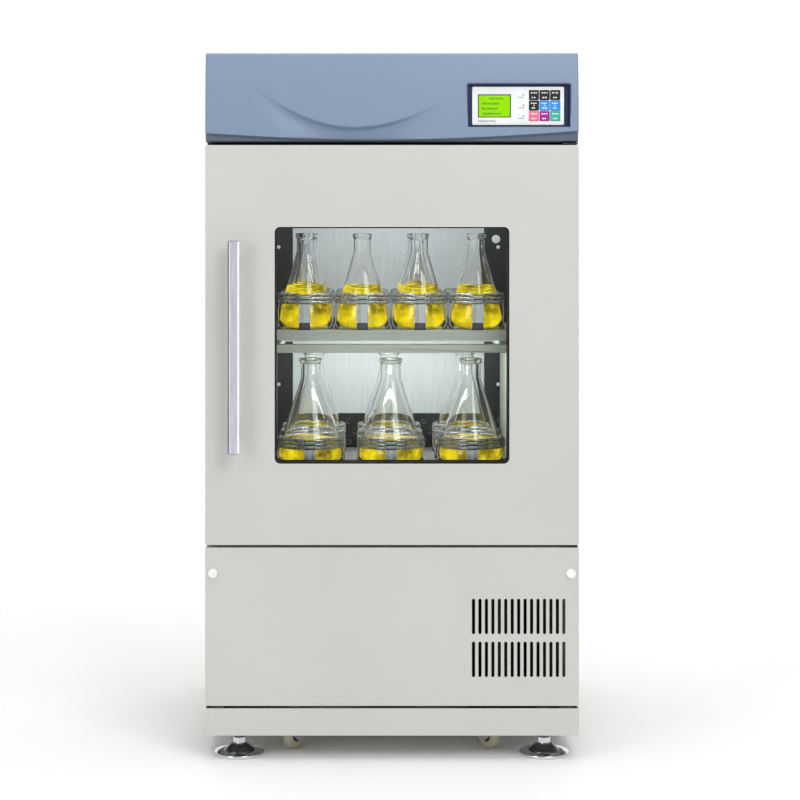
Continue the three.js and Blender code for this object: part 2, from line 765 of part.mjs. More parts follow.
// One sprung flask clamp: two crossed straps bent up at their ends, and the spring round the tips.
function flaskClamp(flaskRadius, clampHeight) {
  const t = 1.5;
  const strapHalf = 10;
  const reach = flaskRadius + 3;
  const strap = polygon([
    [-reach - t, clampHeight],
    [-reach - t, 0],
    [reach + t, 0],
    [reach + t, clampHeight],
    [reach, clampHeight],
    [reach, t],
    [-reach, t],
    [-reach, clampHeight],
  ]);
  const straps = [0, 90].map((turn) => sidePlate(strap, -strapHalf, strapHalf).rotate([0, 0, turn]));
  const spring = frameOutline(octagon(reach), octagon(reach - 5));
  return union([...straps, flatPlate(spring, clampHeight - 9, clampHeight - 3)]);
}

// All the clamps of one tray, riveted to thin rails that screw down on it.
function clampSet({ columns, pitchX, rows, flaskRadius, height: clampHeight }, trayTop) {
  const clamp = flaskClamp(flaskRadius, clampHeight);
  const base = trayTop + gap;
  const columnXs = Array.from({ length: columns }, (_, i) => (i - (columns - 1) / 2) * pitchX);
  const placed = columnXs.flatMap((x) => rows.map((y) => clamp.translate([x, y, base])));
  const rails = columnXs.map((x) => block(x - 12, x + 12, rows[0] - 40, rows.at(-1) + 40, base, base + 1.5));
  const tie = block(columnXs[0], columnXs.at(-1), rows[1] - 12, rows[1] + 12, base, base + 1.5);
  return union([...rails, tie, ...placed]);
}

// Folded door skin: the face with its window, and returns round both edges.
function doorOuterShell() {
  const back = frontY + door.innerDepth;
  const inner = halfWidth - sheet;
  const face = frameOutline(
    rectangle(-halfWidth, halfWidth, door.bottom, door.top),
    windowOutline(0),
  );
  const rim = frameOutline(
    rectangle(-halfWidth, halfWidth, door.bottom, door.top),
    rectangle(-inner, inner, door.bottom + sheet, door.top - sheet),
  );
  const reveal = frameOutline(windowOutline(sheet), windowOutline(0));
  const skin = union([
    facePlate(face, frontY, frontY + sheet),
    facePlate(rim, frontY, back),
    facePlate(reveal, frontY, back),
  ]);
  const { x, y, hole } = hingeAxis;
  const pivots = [
    post(hole, door.bottom - 5, door.bottom + 5, x, y, 16),
    post(hole, door.top - 5, door.top + 5, x, y, 16),
  ];
  return cut(skin, pivots);
}

function doorInnerPanel() {
  const edge = 0.5;
  const outline = frameOutline(
    rectangle(-halfWidth + edge, halfWidth - edge, door.bottom + edge, door.top - edge),
    windowOutline(0),
  );
  return facePlate(outline, frontY + door.innerDepth + gap, frontY + door.thickness);
}

function glassPane(front) {
  return facePlate(windowOutline(-glass.inset), front, front + glass.thickness, 2);
}

function doorGasket() {
  const seal = { halfX: 330, bottom: 448, top: 1197, width: 14 };
  const outline = frameOutline(
    rectangle(-seal.halfX, seal.halfX, seal.bottom, seal.top),
    rectangle(
      -seal.halfX + seal.width,
      seal.halfX - seal.width,
      seal.bottom + seal.width,
      seal.top - seal.width,
    ),
  );
  return facePlate(outline, frontY + door.thickness + gap, chamber.front - 1);
}

// Extruded grip on two round stand-offs.
function doorHandle() {
  const { x, halfX, depth: gripDepth, bottom, top } = handle;
  const front = frontY - handleReach;
  const grip = roundedRectangle(x - halfX, x + halfX, front, front + gripDepth, 4);
  const standoffs = handle.standoffs.map((z) =>
    rodAlongY(8, front + gripDepth - 4, frontY - gap, x, z, 16),
  );
  return union([flatPlate(grip, bottom, top), ...standoffs]);
}

function footPlaces() {
  return [
    { name: "foot_front_left", x: -feet.x, y: feet.frontY },
    { name: "foot_front_right", x: feet.x, y: feet.frontY },
    { name: "foot_rear_left", x: -feet.x, y: feet.rearY },
    { name: "foot_rear_right", x: feet.x, y: feet.rearY },
  ];
}

// Levelling feet: a round pad, a socket and a threaded stem up through the floor plate.
function levellingFeet() {
  const body = turned([
    [0, 0],
    [50, 0],
    [50, 6],
    [46, 8],
    [31, 10],
    [16, 21],
    [13, 21],
    [13, 35],
    [feet.stemRadius, 35],
    [feet.stemRadius, 112],
    [0, 112],
  ]);
  return footPlaces().map(({ name, x, y }) => {
    const foot = part(name, body, material("chrome"));
    foot.position.set(x, y, 0);
    return foot;
  });
}

// A caster's fork in its own frame: swivel axis at the origin, trailing towards +Y.
function casterFork() {
  const { axleZ, trail } = casters;
  const plateTop = floorPlate.bottom - gap;
  const cheek = polygon([
    [-14, 71],
    [trail - 10, axleZ],
    [trail, axleZ - 9],
    [trail + 10, axleZ],
    [24, 71],
  ]);
  return union([
    post(24, plateTop - 6, plateTop),
    block(-16.5, 16.5, -14, 24, 61, 71),
    sidePlate(cheek, -16.5, -13.5),
    sidePlate(cheek, 13.5, 16.5),
    rodAlongX(4, -15, 15, trail, axleZ, 16),
  ]);
}

function casterWheel() {
  const tread = casters.wheelRadius;
  const profile = [
    [4.6, -11],
    [tread - 6, -11],
    [tread, -6],
    [tread, 6],
    [tread - 6, 11],
    [4.6, 11],
    [4.6, -11],
  ];
  const points = profile.map(([radius, x]) => new THREE.Vector2(radius, x));
  return solid(new THREE.LatheGeometry(points, 20).rotateZ(-Math.PI / 2));
}

function casterSet() {
  const places = [
    { name: "caster_front_left", x: -casters.x, y: casters.frontY, yaw: -45 },
    { name: "caster_front_right", x: casters.x, y: casters.frontY, yaw: 45 },
    { name: "caster_rear_left", x: -casters.x, y: casters.rearY, yaw: 20 },
    { name: "caster_rear_right", x: casters.x, y: casters.rearY, yaw: -20 },
  ];
  const fork = casterFork();
  const wheel = casterWheel();
  return places.map(({ name, x, y, yaw }) => {
    const tyre = part(`${name}_wheel`, wheel, material("ivory"));
    tyre.position.set(0, casters.trail, casters.axleZ);
    const group = assembly(part(`${name}_fork`, fork, material("zinc")), tyre);
    group.position.set(x, y, 0);
    group.rotation.z = THREE.MathUtils.degToRad(yaw);
    return group;
  });
}

// Rocker of the mains switch in the right side, tilted to its off position.
function powerSwitch() {
  const { y, z, halfY, halfZ, pivotX, pivotRadius } = mainsSwitch;
  const rocker = polygon([
    [pivotX - 4, z - halfZ],
    [pivotX + 4.5, z - halfZ],
    [pivotX + 4.5, z],
    [pivotX + 7.3, z + halfZ],
    [pivotX - 4, z + halfZ],
  ]);
  const bore = rodAlongY(pivotRadius + 0.6, y - 20, y + 20, pivotX, z, 8);
  return cut(facePlate(rocker, y - halfY, y + halfY), [bore]);
}

// --- The assembly -------------------------------------------------------------------------------

const motorGroup = assembly(
  part("drive_motor", driveMotor(), material("castIron")),
  part("motor_pulley", motorPulley(), material("steel")),
);
motorGroup.position.set(motor.x, motor.y, 0);
motorGroup.rotation.z = Math.atan2(motor.y - mainAxis.y, motor.x - mainAxis.x);

const compressorMesh = part("compressor", compressor(), material("black"));
compressorMesh.position.set(compressorAxis.x, compressorAxis.y, 0);

const machineCompartment = assembly(
  part("base_frame", baseFrame(), material("cream")),
  part("lower_front_panel", lowerFrontPanel(), material("cream")),
  panelKnob(-1),
  panelKnob(1),
  compressorMesh,
  part("condenser", condenserBlock(), material("zinc")),
  condenserFanRotor(),
  ...levellingFeet(),
  ...casterSet(),
);

const casing = assembly(
  part("cabinet_shell", cabinetShell(), material("cream")),
  part("rear_panel", rearPanel(), material("cream")),
  part("chamber_liner", chamberLiner(), material("steel")),
  part("insulation_foam", insulationFoam(), material("foam")),
  part("air_duct_panel", airDuctPanel(), material("black")),
  part("duct_cover", ductCover(), material("steel")),
  part("evaporator_coil", evaporatorCoil(), material("zinc")),
  circulationFanRotor(),
);

const controlHead = assembly(
  part("head_fascia", headFascia(), material("hood")),
  part("control_plate", controlPlate(), material("white")),
  part("lcd_display", lcdDisplay(), material("lcd")),
  part("power_switch", powerSwitch(), material("black")),
  ...keys(),
);

const drive = assembly(
  motorGroup,
  part("drive_belt", driveBelt(), material("rubber")),
  mainCrank(),
  idlerCrank("left"),
  idlerCrank("right"),
  part("carriage_frame", carriageFrame(), material("zinc")),
  part("upper_rack", upperRack(), material("cream")),
  part("lower_tray", tray(trays.lower), material("steel")),
  part("upper_tray", tray(trays.upper), material("steel")),
  part("lower_clamps", clampSet(clamps.lower, trays.lower.top), material("steel")),
  part("upper_clamps", clampSet(clamps.upper, trays.upper.top), material("steel")),
);

const frontDoor = assembly(
  part("door_outer_shell", doorOuterShell(), material("cream")),
  part("door_inner_panel", doorInnerPanel(), material("white")),
  part("outer_glass", glassPane(frontY + 0.4), clearGlass),
  part("inner_glass", glassPane(frontY + door.innerDepth + 2), clearGlass),
  part("door_gasket", doorGasket(), material("rubber")),
  part("door_handle", doorHandle(), material("anodised")),
);

const hinges = assembly(
  part(
    "top_hinge",
    pivotHinge(door.top + 1.5, door.top + 4.5, [1190, door.top + 3], [1195, door.top + 2]),
    material("zinc"),
  ),
  part(
    "bottom_hinge",
    pivotHinge(door.bottom - 3.8, door.bottom - 1.2, [door.bottom - 3, 446], [door.bottom - 2, 446]),
    material("zinc"),
  ),
);

export default assembly(machineCompartment, casing, controlHead, drive, frontDoor, hinges);
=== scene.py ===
"""Looks for a two-tier incubator shaker: procedural materials, and finer pieces where the CAD is plain.

Lengths are in metres in the CAD's own frame: +X to the user's right, +Y to the rear, +Z up, floor at zero.
"""

import json
import math
import random

import bmesh
import bpy
from mathutils import Matrix, Vector


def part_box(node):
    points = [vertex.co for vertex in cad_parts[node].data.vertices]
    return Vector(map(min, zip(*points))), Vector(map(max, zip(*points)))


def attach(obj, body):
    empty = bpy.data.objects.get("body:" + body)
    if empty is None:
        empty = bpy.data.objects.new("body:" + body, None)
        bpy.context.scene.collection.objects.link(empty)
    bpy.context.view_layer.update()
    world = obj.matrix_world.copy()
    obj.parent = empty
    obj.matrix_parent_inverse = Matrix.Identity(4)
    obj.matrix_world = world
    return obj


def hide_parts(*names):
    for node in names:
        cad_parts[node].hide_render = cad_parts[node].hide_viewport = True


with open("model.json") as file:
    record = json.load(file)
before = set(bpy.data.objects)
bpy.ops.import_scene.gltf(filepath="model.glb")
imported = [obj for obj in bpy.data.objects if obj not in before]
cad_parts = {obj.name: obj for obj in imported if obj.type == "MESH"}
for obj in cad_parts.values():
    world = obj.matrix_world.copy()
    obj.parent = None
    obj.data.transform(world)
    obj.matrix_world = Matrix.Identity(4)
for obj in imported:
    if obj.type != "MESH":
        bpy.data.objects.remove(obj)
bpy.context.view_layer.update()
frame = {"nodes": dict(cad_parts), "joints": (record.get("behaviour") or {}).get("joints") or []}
nodes = frame["nodes"]
joints = {joint["name"]: joint for joint in frame["joints"]}
CORNERS = ("front_left", "front_right", "rear_left", "rear_right")

# --- Shaders ---


def linear(hex_color):
    """An sRGB hex colour as linear RGB."""
    channels = [(hex_color >> shift & 255) / 255 for shift in (16, 8, 0)]
    return tuple(c / 12.92 if c <= 0.04045 else ((c + 0.055) / 1.055) ** 2.4 for c in channels)


class Shader:
    """A Principled material under construction, with short ways to add nodes to it."""

    def __init__(self, name, hex_color, roughness=0.5, metallic=0.0):
        self.material = bpy.data.materials.new(name)
        self.material.use_nodes = True
        self.tree = self.material.node_tree
        self.bsdf = self.tree.nodes["Principled BSDF"]
        self.output = self.tree.nodes["Material Output"]
        self.color = linear(hex_color)
        self.coordinates = self.node("ShaderNodeTexCoord").outputs["Object"]
        self.set("Base Color", (*self.color, 1.0))
        self.set("Roughness", roughness)
        self.set("Metallic", metallic)
        self.material.diffuse_color = (*self.color, 1.0)

    def node(self, kind, **settings):
        made = self.tree.nodes.new(kind)
        for key, value in settings.items():
            setattr(made, key, value)
        return made

    def link(self, source, target):
        self.tree.links.new(source, target)

    def set(self, name, value):
        self.bsdf.inputs[name].default_value = value

    def noise(self, scale, detail=2.0, stretch=(1.0, 1.0, 1.0)):
        """Noise from 0 to 1, with scale in features per metre along each axis."""
        mapping = self.node("ShaderNodeMapping")
        mapping.inputs["Scale"].default_value = stretch
        self.link(self.coordinates, mapping.inputs["Vector"])
        texture = self.node("ShaderNodeTexNoise")
        texture.inputs["Scale"].default_value = scale
        texture.inputs["Detail"].default_value = detail
        self.link(mapping.outputs["Vector"], texture.inputs["Vector"])
        return texture.outputs["Fac"]

    def spread(self, socket, low, high, start=0.35, stop=0.65):
        """A socket's values between start and stop, spread over low to high."""
        mapping = self.node("ShaderNodeMapRange")
        mapping.inputs["From Min"].default_value = start
        mapping.inputs["From Max"].default_value = stop
        mapping.inputs["To Min"].default_value = low
        mapping.inputs["To Max"].default_value = high
        self.link(socket, mapping.inputs["Value"])
        return mapping.outputs["Result"]

    def vary(self, name, socket, low, high):
        self.link(self.spread(socket, low, high), self.bsdf.inputs[name])

    def tint(self, socket, dark, light):
        """Varies the colour's brightness between two factors."""
        mix = self.node("ShaderNodeMix", data_type="RGBA")
        for index, factor in ((6, dark), (7, light)):
            mix.inputs[index].default_value = (*(min(1.0, c * factor) for c in self.color), 1.0)
        self.link(self.spread(socket, 0.0, 1.0), mix.inputs["Factor"])
        self.link(mix.outputs[2], self.bsdf.inputs["Base Color"])
        return mix.outputs[2]

    def bump(self, socket, depth, strength=1.0):
        """Relief of the given depth in metres."""
        bump = self.node("ShaderNodeBump")
        bump.inputs["Strength"].default_value = strength
        bump.inputs["Distance"].default_value = depth
        self.link(socket, bump.inputs["Height"])
        previous = self.bsdf.inputs["Normal"].links
        if previous:
            self.link(previous[0].from_socket, bump.inputs["Normal"])
        self.link(bump.outputs["Normal"], self.bsdf.inputs["Normal"])


def powder_coat(name, hex_color, roughness=0.42):
    """Baked powder paint: orange-peel relief, faint clouds in its tone and a satin sheen."""
    shader = Shader(name, hex_color, roughness)
    shader.tint(shader.noise(2.6, 3.0), 0.975, 1.02)
    shader.vary("Roughness", shader.noise(35.0), roughness - 0.05, roughness + 0.06)
    shader.bump(shader.noise(520.0, 2.0), 0.0001, 0.35)
    shader.bump(shader.noise(1700.0, 1.0), 0.00004, 0.3)
    shader.set("Coat Weight", 0.12)
    shader.set("Coat Roughness", 0.3)
    return shader.material


def brushed(name, hex_color, roughness=0.32, grain=(1.0, 60.0, 60.0), metallic=1.0):
    """Sheet metal with fine lines along the axis in which the grain is least."""
    shader = Shader(name, hex_color, roughness, metallic)
    lines = shader.noise(14.0, 4.0, grain)
    shader.tint(lines, 0.88, 1.06)
    shader.vary("Roughness", lines, roughness - 0.08, roughness + 0.1)
    shader.bump(lines, 0.00003, 0.25)
    shader.bump(shader.noise(6.0, 2.0), 0.0006, 0.08)
    return shader.material


def polished(name, hex_color, roughness=0.08):
    """Plated metal with a few faint smears and pits."""
    shader = Shader(name, hex_color, roughness, 1.0)
    shader.vary("Roughness", shader.noise(60.0, 4.0), roughness * 0.6, roughness * 2.4)
    shader.tint(shader.noise(25.0, 2.0), 0.94, 1.03)
    shader.bump(shader.noise(240.0, 2.0), 0.00004, 0.15)
    return shader.material


def moulded(name, hex_color, roughness=0.4, relief=0.00006):
    """Moulded plastic with a fine spark-eroded grain."""
    shader = Shader(name, hex_color, roughness)
    shader.tint(shader.noise(18.0, 3.0), 0.93, 1.05)
    shader.vary("Roughness", shader.noise(90.0, 2.0), roughness - 0.06, roughness + 0.08)
    shader.bump(shader.noise(900.0, 2.0), relief, 0.4)
    return shader.material


def rubber(name, hex_color):
    shader = Shader(name, hex_color, 0.75)
    shader.tint(shader.noise(60.0, 4.0), 0.8, 1.25)
    shader.vary("Roughness", shader.noise(140.0, 3.0), 0.62, 0.86)
    shader.bump(shader.noise(700.0, 3.0), 0.00012, 0.5)
    return shader.material


def cast(name, hex_color, metallic=0.6):
    """Cast iron with a coarse skin."""
    shader = Shader(name, hex_color, 0.6, metallic)
    shader.tint(shader.noise(45.0, 5.0), 0.75, 1.2)
    shader.vary("Roughness", shader.noise(80.0, 4.0), 0.45, 0.75)
    shader.bump(shader.noise(260.0, 4.0), 0.00035, 0.6)
    return shader.material


def foam(name, hex_color):
    shader = Shader(name, hex_color, 0.9)
    cells = shader.node("ShaderNodeTexVoronoi")
    cells.inputs["Scale"].default_value = 260.0
    shader.link(shader.coordinates, cells.inputs["Vector"])
    shader.tint(shader.noise(30.0, 4.0), 0.85, 1.08)
    shader.bump(cells.outputs["Distance"], 0.0008, 0.7)
    return shader.material


def spring_wire(name, hex_color):
    """Bright drawn wire, dulled in patches."""
    shader = Shader(name, hex_color, 0.28, 0.7)
    shader.tint(shader.noise(300.0, 2.0), 0.7, 1.1)
    shader.vary("Roughness", shader.noise(120.0, 2.0), 0.2, 0.36)
    return shader.material


def glowing(name, hex_color, strength):
    shader = Shader(name, hex_color, 0.35)
    light = shader.tint(shader.noise(40.0, 2.0), 0.93, 1.04)
    shader.link(light, shader.bsdf.inputs["Emission Color"])
    shader.set("Emission Strength", strength)
    shader.set("Specular IOR Level", 0.1)
    return shader.material


def clear_where(shader, share, tint=(1.0, 1.0, 1.0)):
    """Mixes a material with plain transparency, by a socket that is 1 where it has to be clear."""
    clear = shader.node("ShaderNodeBsdfTransparent")
    clear.inputs["Color"].default_value = (*tint, 1.0)
    mix = shader.node("ShaderNodeMixShader")
    shader.link(share, mix.inputs[0])
    shader.link(shader.bsdf.outputs["BSDF"], mix.inputs[1])
    shader.link(clear.outputs["BSDF"], mix.inputs[2])
    shader.link(mix.outputs["Shader"], shader.output.inputs["Surface"])


def let_light_through(shader, tint):
    """Makes a refracting material clear to shadow and diffuse rays, so that what it holds stays lit."""
    path = shader.node("ShaderNodeLightPath")
    either = shader.node("ShaderNodeMath", operation="MAXIMUM")
    shader.link(path.outputs["Is Shadow Ray"], either.inputs[0])
    shader.link(path.outputs["Is Diffuse Ray"], either.inputs[1])
    clear_where(shader, either.outputs["Value"], tint)


def flask_glass(name):
    """Borosilicate glass with slow waves in its surface."""
    shader = Shader(name, 0xFFFFFF, 0.0)
    shader.set("Transmission Weight", 1.0)
    shader.set("IOR", 1.5)
    shader.vary("Roughness", shader.noise(25.0, 2.0), 0.0, 0.03)
    shader.bump(shader.noise(30.0, 2.0), 0.0006, 0.12)
    let_light_through(shader, (0.97, 0.98, 0.98))
    return shader.material


def culture_medium(name, hex_color):
    """Clear yellow liquid, with painted light: an emitted glow in drifting patches that stands for the light
    that it gathers.
    """
    shader = Shader(name, hex_color, 0.0)
    shader.set("Transmission Weight", 1.0)
    shader.set("IOR", 1.34)
    tone = shader.tint(shader.noise(24.0, 2.0), 0.92, 1.0)
    shader.link(tone, shader.bsdf.inputs["Emission Color"])
    # Painted light: the emission strength follows these patches.
    patches = shader.noise(34.0, 1.5, (1.0, 1.0, 1.4))
    shader.link(shader.spread(patches, 0.0, 0.42, 0.45, 0.66), shader.bsdf.inputs["Emission Strength"])
    let_light_through(shader, (0.97, 0.9, 0.45))
    return shader.material


def window_glass(name):
    """Flat toughened glass: clear, with a mirror's share of reflection that grows at a slant."""
    shader = Shader(name, 0xDDEBE6, 0.02)
    clear = shader.node("ShaderNodeBsdfTransparent")
    clear.inputs["Color"].default_value = (0.975, 0.985, 0.98, 1.0)
    shine = shader.node("ShaderNodeBsdfGlossy")
    shine.inputs["Roughness"].default_value = 0.03
    fresnel = shader.node("ShaderNodeFresnel")
    fresnel.inputs["IOR"].default_value = 1.13
    smears = shader.spread(shader.noise(5.0, 4.0), 0.7, 1.1)
    share = shader.node("ShaderNodeMath", operation="MULTIPLY")
    shader.link(fresnel.outputs["Fac"], share.inputs[0])
    shader.link(smears, share.inputs[1])
    mix = shader.node("ShaderNodeMixShader")
    shader.link(share.outputs["Value"], mix.inputs[0])
    shader.link(clear.outputs["BSDF"], mix.inputs[1])
    shader.link(shine.outputs["BSDF"], mix.inputs[2])
    shader.link(mix.outputs["Shader"], shader.output.inputs["Surface"])
    return shader.material


CREAM = powder_coat("cream_powder_coat", 0xC6C6C0)
HOOD = powder_coat("hood_blue_grey", 0x7B8CA5, 0.46)
# A darker tone for the hood's band under the crease: painted shade on the undercut.
HOOD_PAINTED_SHADE = powder_coat("hood_lower_band_painted_shade", 0x596576, 0.5)
NAVY = moulded("bezel_navy", 0x10234A, 0.4)
WHITE_PLATE = moulded("control_plate_white", 0xEBEDEF, 0.38)
WHITE_PLASTIC = moulded("white_plastic", 0xF2F2EF, 0.35)
INK = moulded("printed_ink", 0x23252B, 0.55)
DOOR_LINER = powder_coat("door_liner_white", 0xDCDCD8, 0.4)
STAINLESS = brushed("brushed_stainless", 0xB9BDC1, 0.34)
BACK_STEEL = brushed("satin_back_cover", 0xD6DBDE, 0.6, (60.0, 1.0, 1.0), 0.2)
TRAY_STEEL = brushed("tray_steel", 0xC8C9C3, 0.42, (1.0, 60.0, 60.0), 0.5)
SPRING_STEEL = brushed("strap_steel", 0xD8DADC, 0.32, (20.0, 20.0, 1.0), 0.6)
SPRING_COIL = spring_wire("coil_wire", 0xCED1D4)
CLIP_STEEL = brushed("clip_steel", 0xB4B9B4, 0.4, (20.0, 20.0, 1.0), 0.6)
ZINC = brushed("zinc_plate", 0xB0B4B8, 0.38, (12.0, 12.0, 12.0))
CHROME = polished("chrome", 0xD9DBDE)
FOOT_CONE = polished("foot_cone", 0x6E7075, 0.14)
LIP_STEEL = polished("lip_steel", 0x8A8E91, 0.16)
ANODISED = brushed("anodised_aluminium", 0xD2D2E0, 0.36, (60.0, 60.0, 1.0), 0.7)
# The handle's edge strips: a near-white painted highlight on the right, a dark painted shade on the left.
HANDLE_PAINTED_HIGHLIGHT = moulded("handle_painted_highlight", 0xFCFCFE, 0.25)
SHADED_EDGE = brushed("shaded_edge", 0x6E7075, 0.4, (60.0, 60.0, 1.0), 0.4)
RACK_PAINT = powder_coat("rack_grey_green", 0xC2C7B9, 0.45)
DUCT_BLACK = powder_coat("duct_black", 0x15171A, 0.5)
BLACK_PLASTIC = moulded("black_plastic", 0x17181A, 0.5)
BLACK_RUBBER = rubber("black_rubber", 0x1A1B1D)
GREY_RUBBER = rubber("grey_rubber", 0x4A4B50)
# The window's rolled lip, painted lighter than the door skin: a painted highlight.
BEAD_PAINTED_HIGHLIGHT = powder_coat("window_bead_painted_highlight", 0xD4D4CE)
FOAM = foam("polyurethane_foam", 0xE3DAB2)
IRON = cast("cast_iron", 0x55585C)
ENAMEL = cast("black_enamel", 0x1D1E20, 0.1)
FINS = brushed("fin_aluminium", 0xBFC2C4, 0.42, (1.0, 1.0, 80.0))
# Near-black condenser fins: painted shade seen behind the lower panel's air slots.
CONDENSER_PAINTED_SHADE = brushed("condenser_fins_painted_shade", 0x26282A, 0.5, (1.0, 1.0, 80.0), 0.3)
IVORY = moulded("ivory_nylon", 0xBAB59E, 0.4)
FLASK_GLASS = flask_glass("borosilicate_glass")
MEDIUM = culture_medium("yellow_medium", 0xFFEA1E)
WINDOW_GLASS = window_glass("window_glass")
LCD = glowing("lcd_lime", 0x86CC00, 0.25)
LCD_INK = moulded("lcd_segments", 0x5C8F12, 0.5)
LAMP = glowing("chamber_lamp_glow", 0xF4F8FF, 1.2)
LED_DARK = moulded("indicator_dark", 0x1E1F24, 0.2)

# --- Mesh building ---


def merged(bm, smooth_angle=35.0):
    """A mesh from a bmesh, smooth except over edges sharper than the angle."""
    mesh = bpy.data.meshes.new("shape")
    bmesh.ops.recalc_face_normals(bm, faces=bm.faces)
    bm.to_mesh(mesh)
    bm.free()
    mesh.shade_smooth()
    mesh.set_sharp_from_angle(angle=math.radians(smooth_angle))
    return mesh


def turned(profile, steps=64, matrix=None):
    """A profile of (radius, height) points turned about Z. A point at radius 0 closes it."""
    bm = bmesh.new()
    rings = []
    for radius, z in profile:
        outline = circle(0, 0, radius, steps) if radius > 1e-9 else [(0, 0)]
        rings.append([bm.verts.new((x, y, z)) for x, y in outline])
    for low, high in zip(rings, rings[1:]):
        for i in range(steps):
            corners = [low[i % len(low)], low[(i + 1) % len(low)]]
            corners += [high[(i + 1) % len(high)], high[i % len(high)]]
            corners = list(dict.fromkeys(corners))
            if len(corners) > 2:
                bm.faces.new(corners)
    if matrix:
        bm.transform(matrix)
    return merged(bm)


def curve_mesh(curve, matrix=None, smooth_angle=35.0):
    holder = bpy.data.objects.new("curve_holder", curve)
    mesh = bpy.data.meshes.new_from_object(holder)
    bpy.data.objects.remove(holder)
    bpy.data.curves.remove(curve)
    bm = bmesh.new()
    bm.from_mesh(mesh)
    bpy.data.meshes.remove(mesh)
    bmesh.ops.remove_doubles(bm, verts=bm.verts, dist=1e-6)
    if matrix:
        bm.transform(matrix)
    return merged(bm, smooth_angle)


def plate(outline, holes, z0, z1, bevel=0.0005, matrix=None):
    """A flat sheet drawn in X and Y, from z0 to z1, with softened edges. Outlines are closed point lists."""
    curve = bpy.data.curves.new("plate", "CURVE")
    curve.dimensions = "2D"
    curve.fill_mode = "BOTH"
    curve.extrude = (z1 - z0) / 2 - bevel
    curve.bevel_depth = bevel
    curve.bevel_resolution = 1
    curve.offset = -bevel
    for points in [outline, *holes]:
        spline = curve.splines.new("POLY")
        spline.points.add(len(points) - 1)
        for point, (x, y) in zip(spline.points, points):
            point.co = (x, y, 0, 1)
        spline.use_cyclic_u = True
    lift = Matrix.Translation((0, 0, (z0 + z1) / 2))
    return curve_mesh(curve, (matrix or Matrix.Identity(4)) @ lift)


# Turns a sheet drawn in X and Y to stand in X and Z, with its local Z towards the user.
UPRIGHT = Matrix.Rotation(math.radians(90), 4, "X")
# Turns it the other way, with its local Z towards the rear.
BACKWARDS = Matrix.Rotation(math.radians(-90), 4, "X")


def upright_plate(outline, holes, y0, y1, bevel=0.0005):
    """A sheet drawn in X and Z that reaches from y0 back to y1."""
    return plate(outline, holes, -y1, -y0, bevel, UPRIGHT)


def rod(points, radius, sides=2, closed=False):
    """A round rod along a line of points; sides is the resolution of a quarter turn."""
    curve = bpy.data.curves.new("rod", "CURVE")
    curve.dimensions = "3D"
    curve.bevel_depth = radius
    curve.bevel_resolution = sides
    curve.use_fill_caps = not closed
    spline = curve.splines.new("POLY")
    spline.points.add(len(points) - 1)
    for point, co in zip(spline.points, points):
        point.co = (*co, 1)
    spline.use_cyclic_u = closed
    return curve_mesh(curve)


def bar(low, high, bevel=0.0006, segments=2):
    """A box between two corners with rounded edges."""
    bm = bmesh.new()
    bmesh.ops.create_cube(bm, size=1.0)
    size = [b - a for a, b in zip(low, high)]
    middle = [(a + b) / 2 for a, b in zip(low, high)]
    bm.transform(Matrix.Translation(middle) @ Matrix.Diagonal((*size, 1.0)))
    width = min(bevel, *(s * 0.45 for s in size))
    bmesh.ops.bevel(bm, geom=bm.edges, offset=width, segments=segments, profile=0.5, affect="EDGES")
    return merged(bm, 50.0)


def arc(cx, cy, radius, start, sweep, steps):
    """The points of an arc that starts at an angle and sweeps on from it, both in degrees."""
    angles = [math.radians(start + sweep * i / steps) for i in range(steps + 1)]
    return [(cx + radius * math.cos(a), cy + radius * math.sin(a)) for a in angles]


def rounded(x0, x1, y0, y1, radius, steps=7):
    """The points of a rectangle with round corners."""
    left, right, low, high = x0 + radius, x1 - radius, y0 + radius, y1 - radius
    corners = ((right, low, -90), (right, high, 0), (left, high, 90), (left, low, 180))
    return [point for x, y, start in corners for point in arc(x, y, radius, start, 90, steps)]


def frame_outline(low, high, inset, radius, steps=7):
    """The rounded outline of a box as the user sees it, moved inwards by an inset."""
    return rounded(low.x + inset, high.x - inset, low.z + inset, high.z - inset, radius, steps)


def circle(cx, cy, radius, steps=32):
    angles = [2 * math.pi * i / steps for i in range(steps)]
    return [(cx + radius * math.cos(a), cy + radius * math.sin(a)) for a in angles]


def moved(mesh, x=0.0, y=0.0, z=0.0):
    mesh.transform(Matrix.Translation((x, y, z)))
    return mesh


def fitting(profile, steps, material, x, y, z, matrix=UPRIGHT):
    """A turned shape that faces the user at a place, with its material."""
    return moved(turned(profile, steps, matrix), x, y, z), material


def middle_of(name):
    """The middle of a CAD node's box, in X, Y and Z."""
    return [(a + b) / 2 for a, b in zip(*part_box(name))]


def joined(shapes):
    """One mesh from (mesh, materials) pairs, keeping each one's materials."""
    bm = bmesh.new()
    materials = []
    for mesh, own in shapes:
        own = own if isinstance(own, tuple) else (own,)
        materials += [material for material in own if material not in materials]
        first = len(bm.faces)
        bm.from_mesh(mesh)
        bm.faces.ensure_lookup_table()
        for face in bm.faces[first:]:
            face.material_index = materials.index(own[min(face.material_index, len(own) - 1)])
        bpy.data.meshes.remove(mesh)
    whole = bpy.data.meshes.new("piece")
    bm.to_mesh(whole)
    bm.free()
    for material in materials:
        whole.materials.append(material)
    return whole


def flatten_normals(piece):
    """Keeps wide faces flat in the shading where they meet small rounded edges."""
    normals = piece.modifiers.new("normals", "WEIGHTED_NORMAL")
    normals.keep_sharp = True


def show(name, shapes, body, replaces=()):
    """A visible piece that rides on a CAD body, and stands for the CAD nodes that it replaces."""
    piece = bpy.data.objects.new(name, joined(shapes))
    bpy.context.scene.collection.objects.link(piece)
    flatten_normals(piece)
    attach(piece, body)
    if replaces:
        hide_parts(*replaces)
    return piece


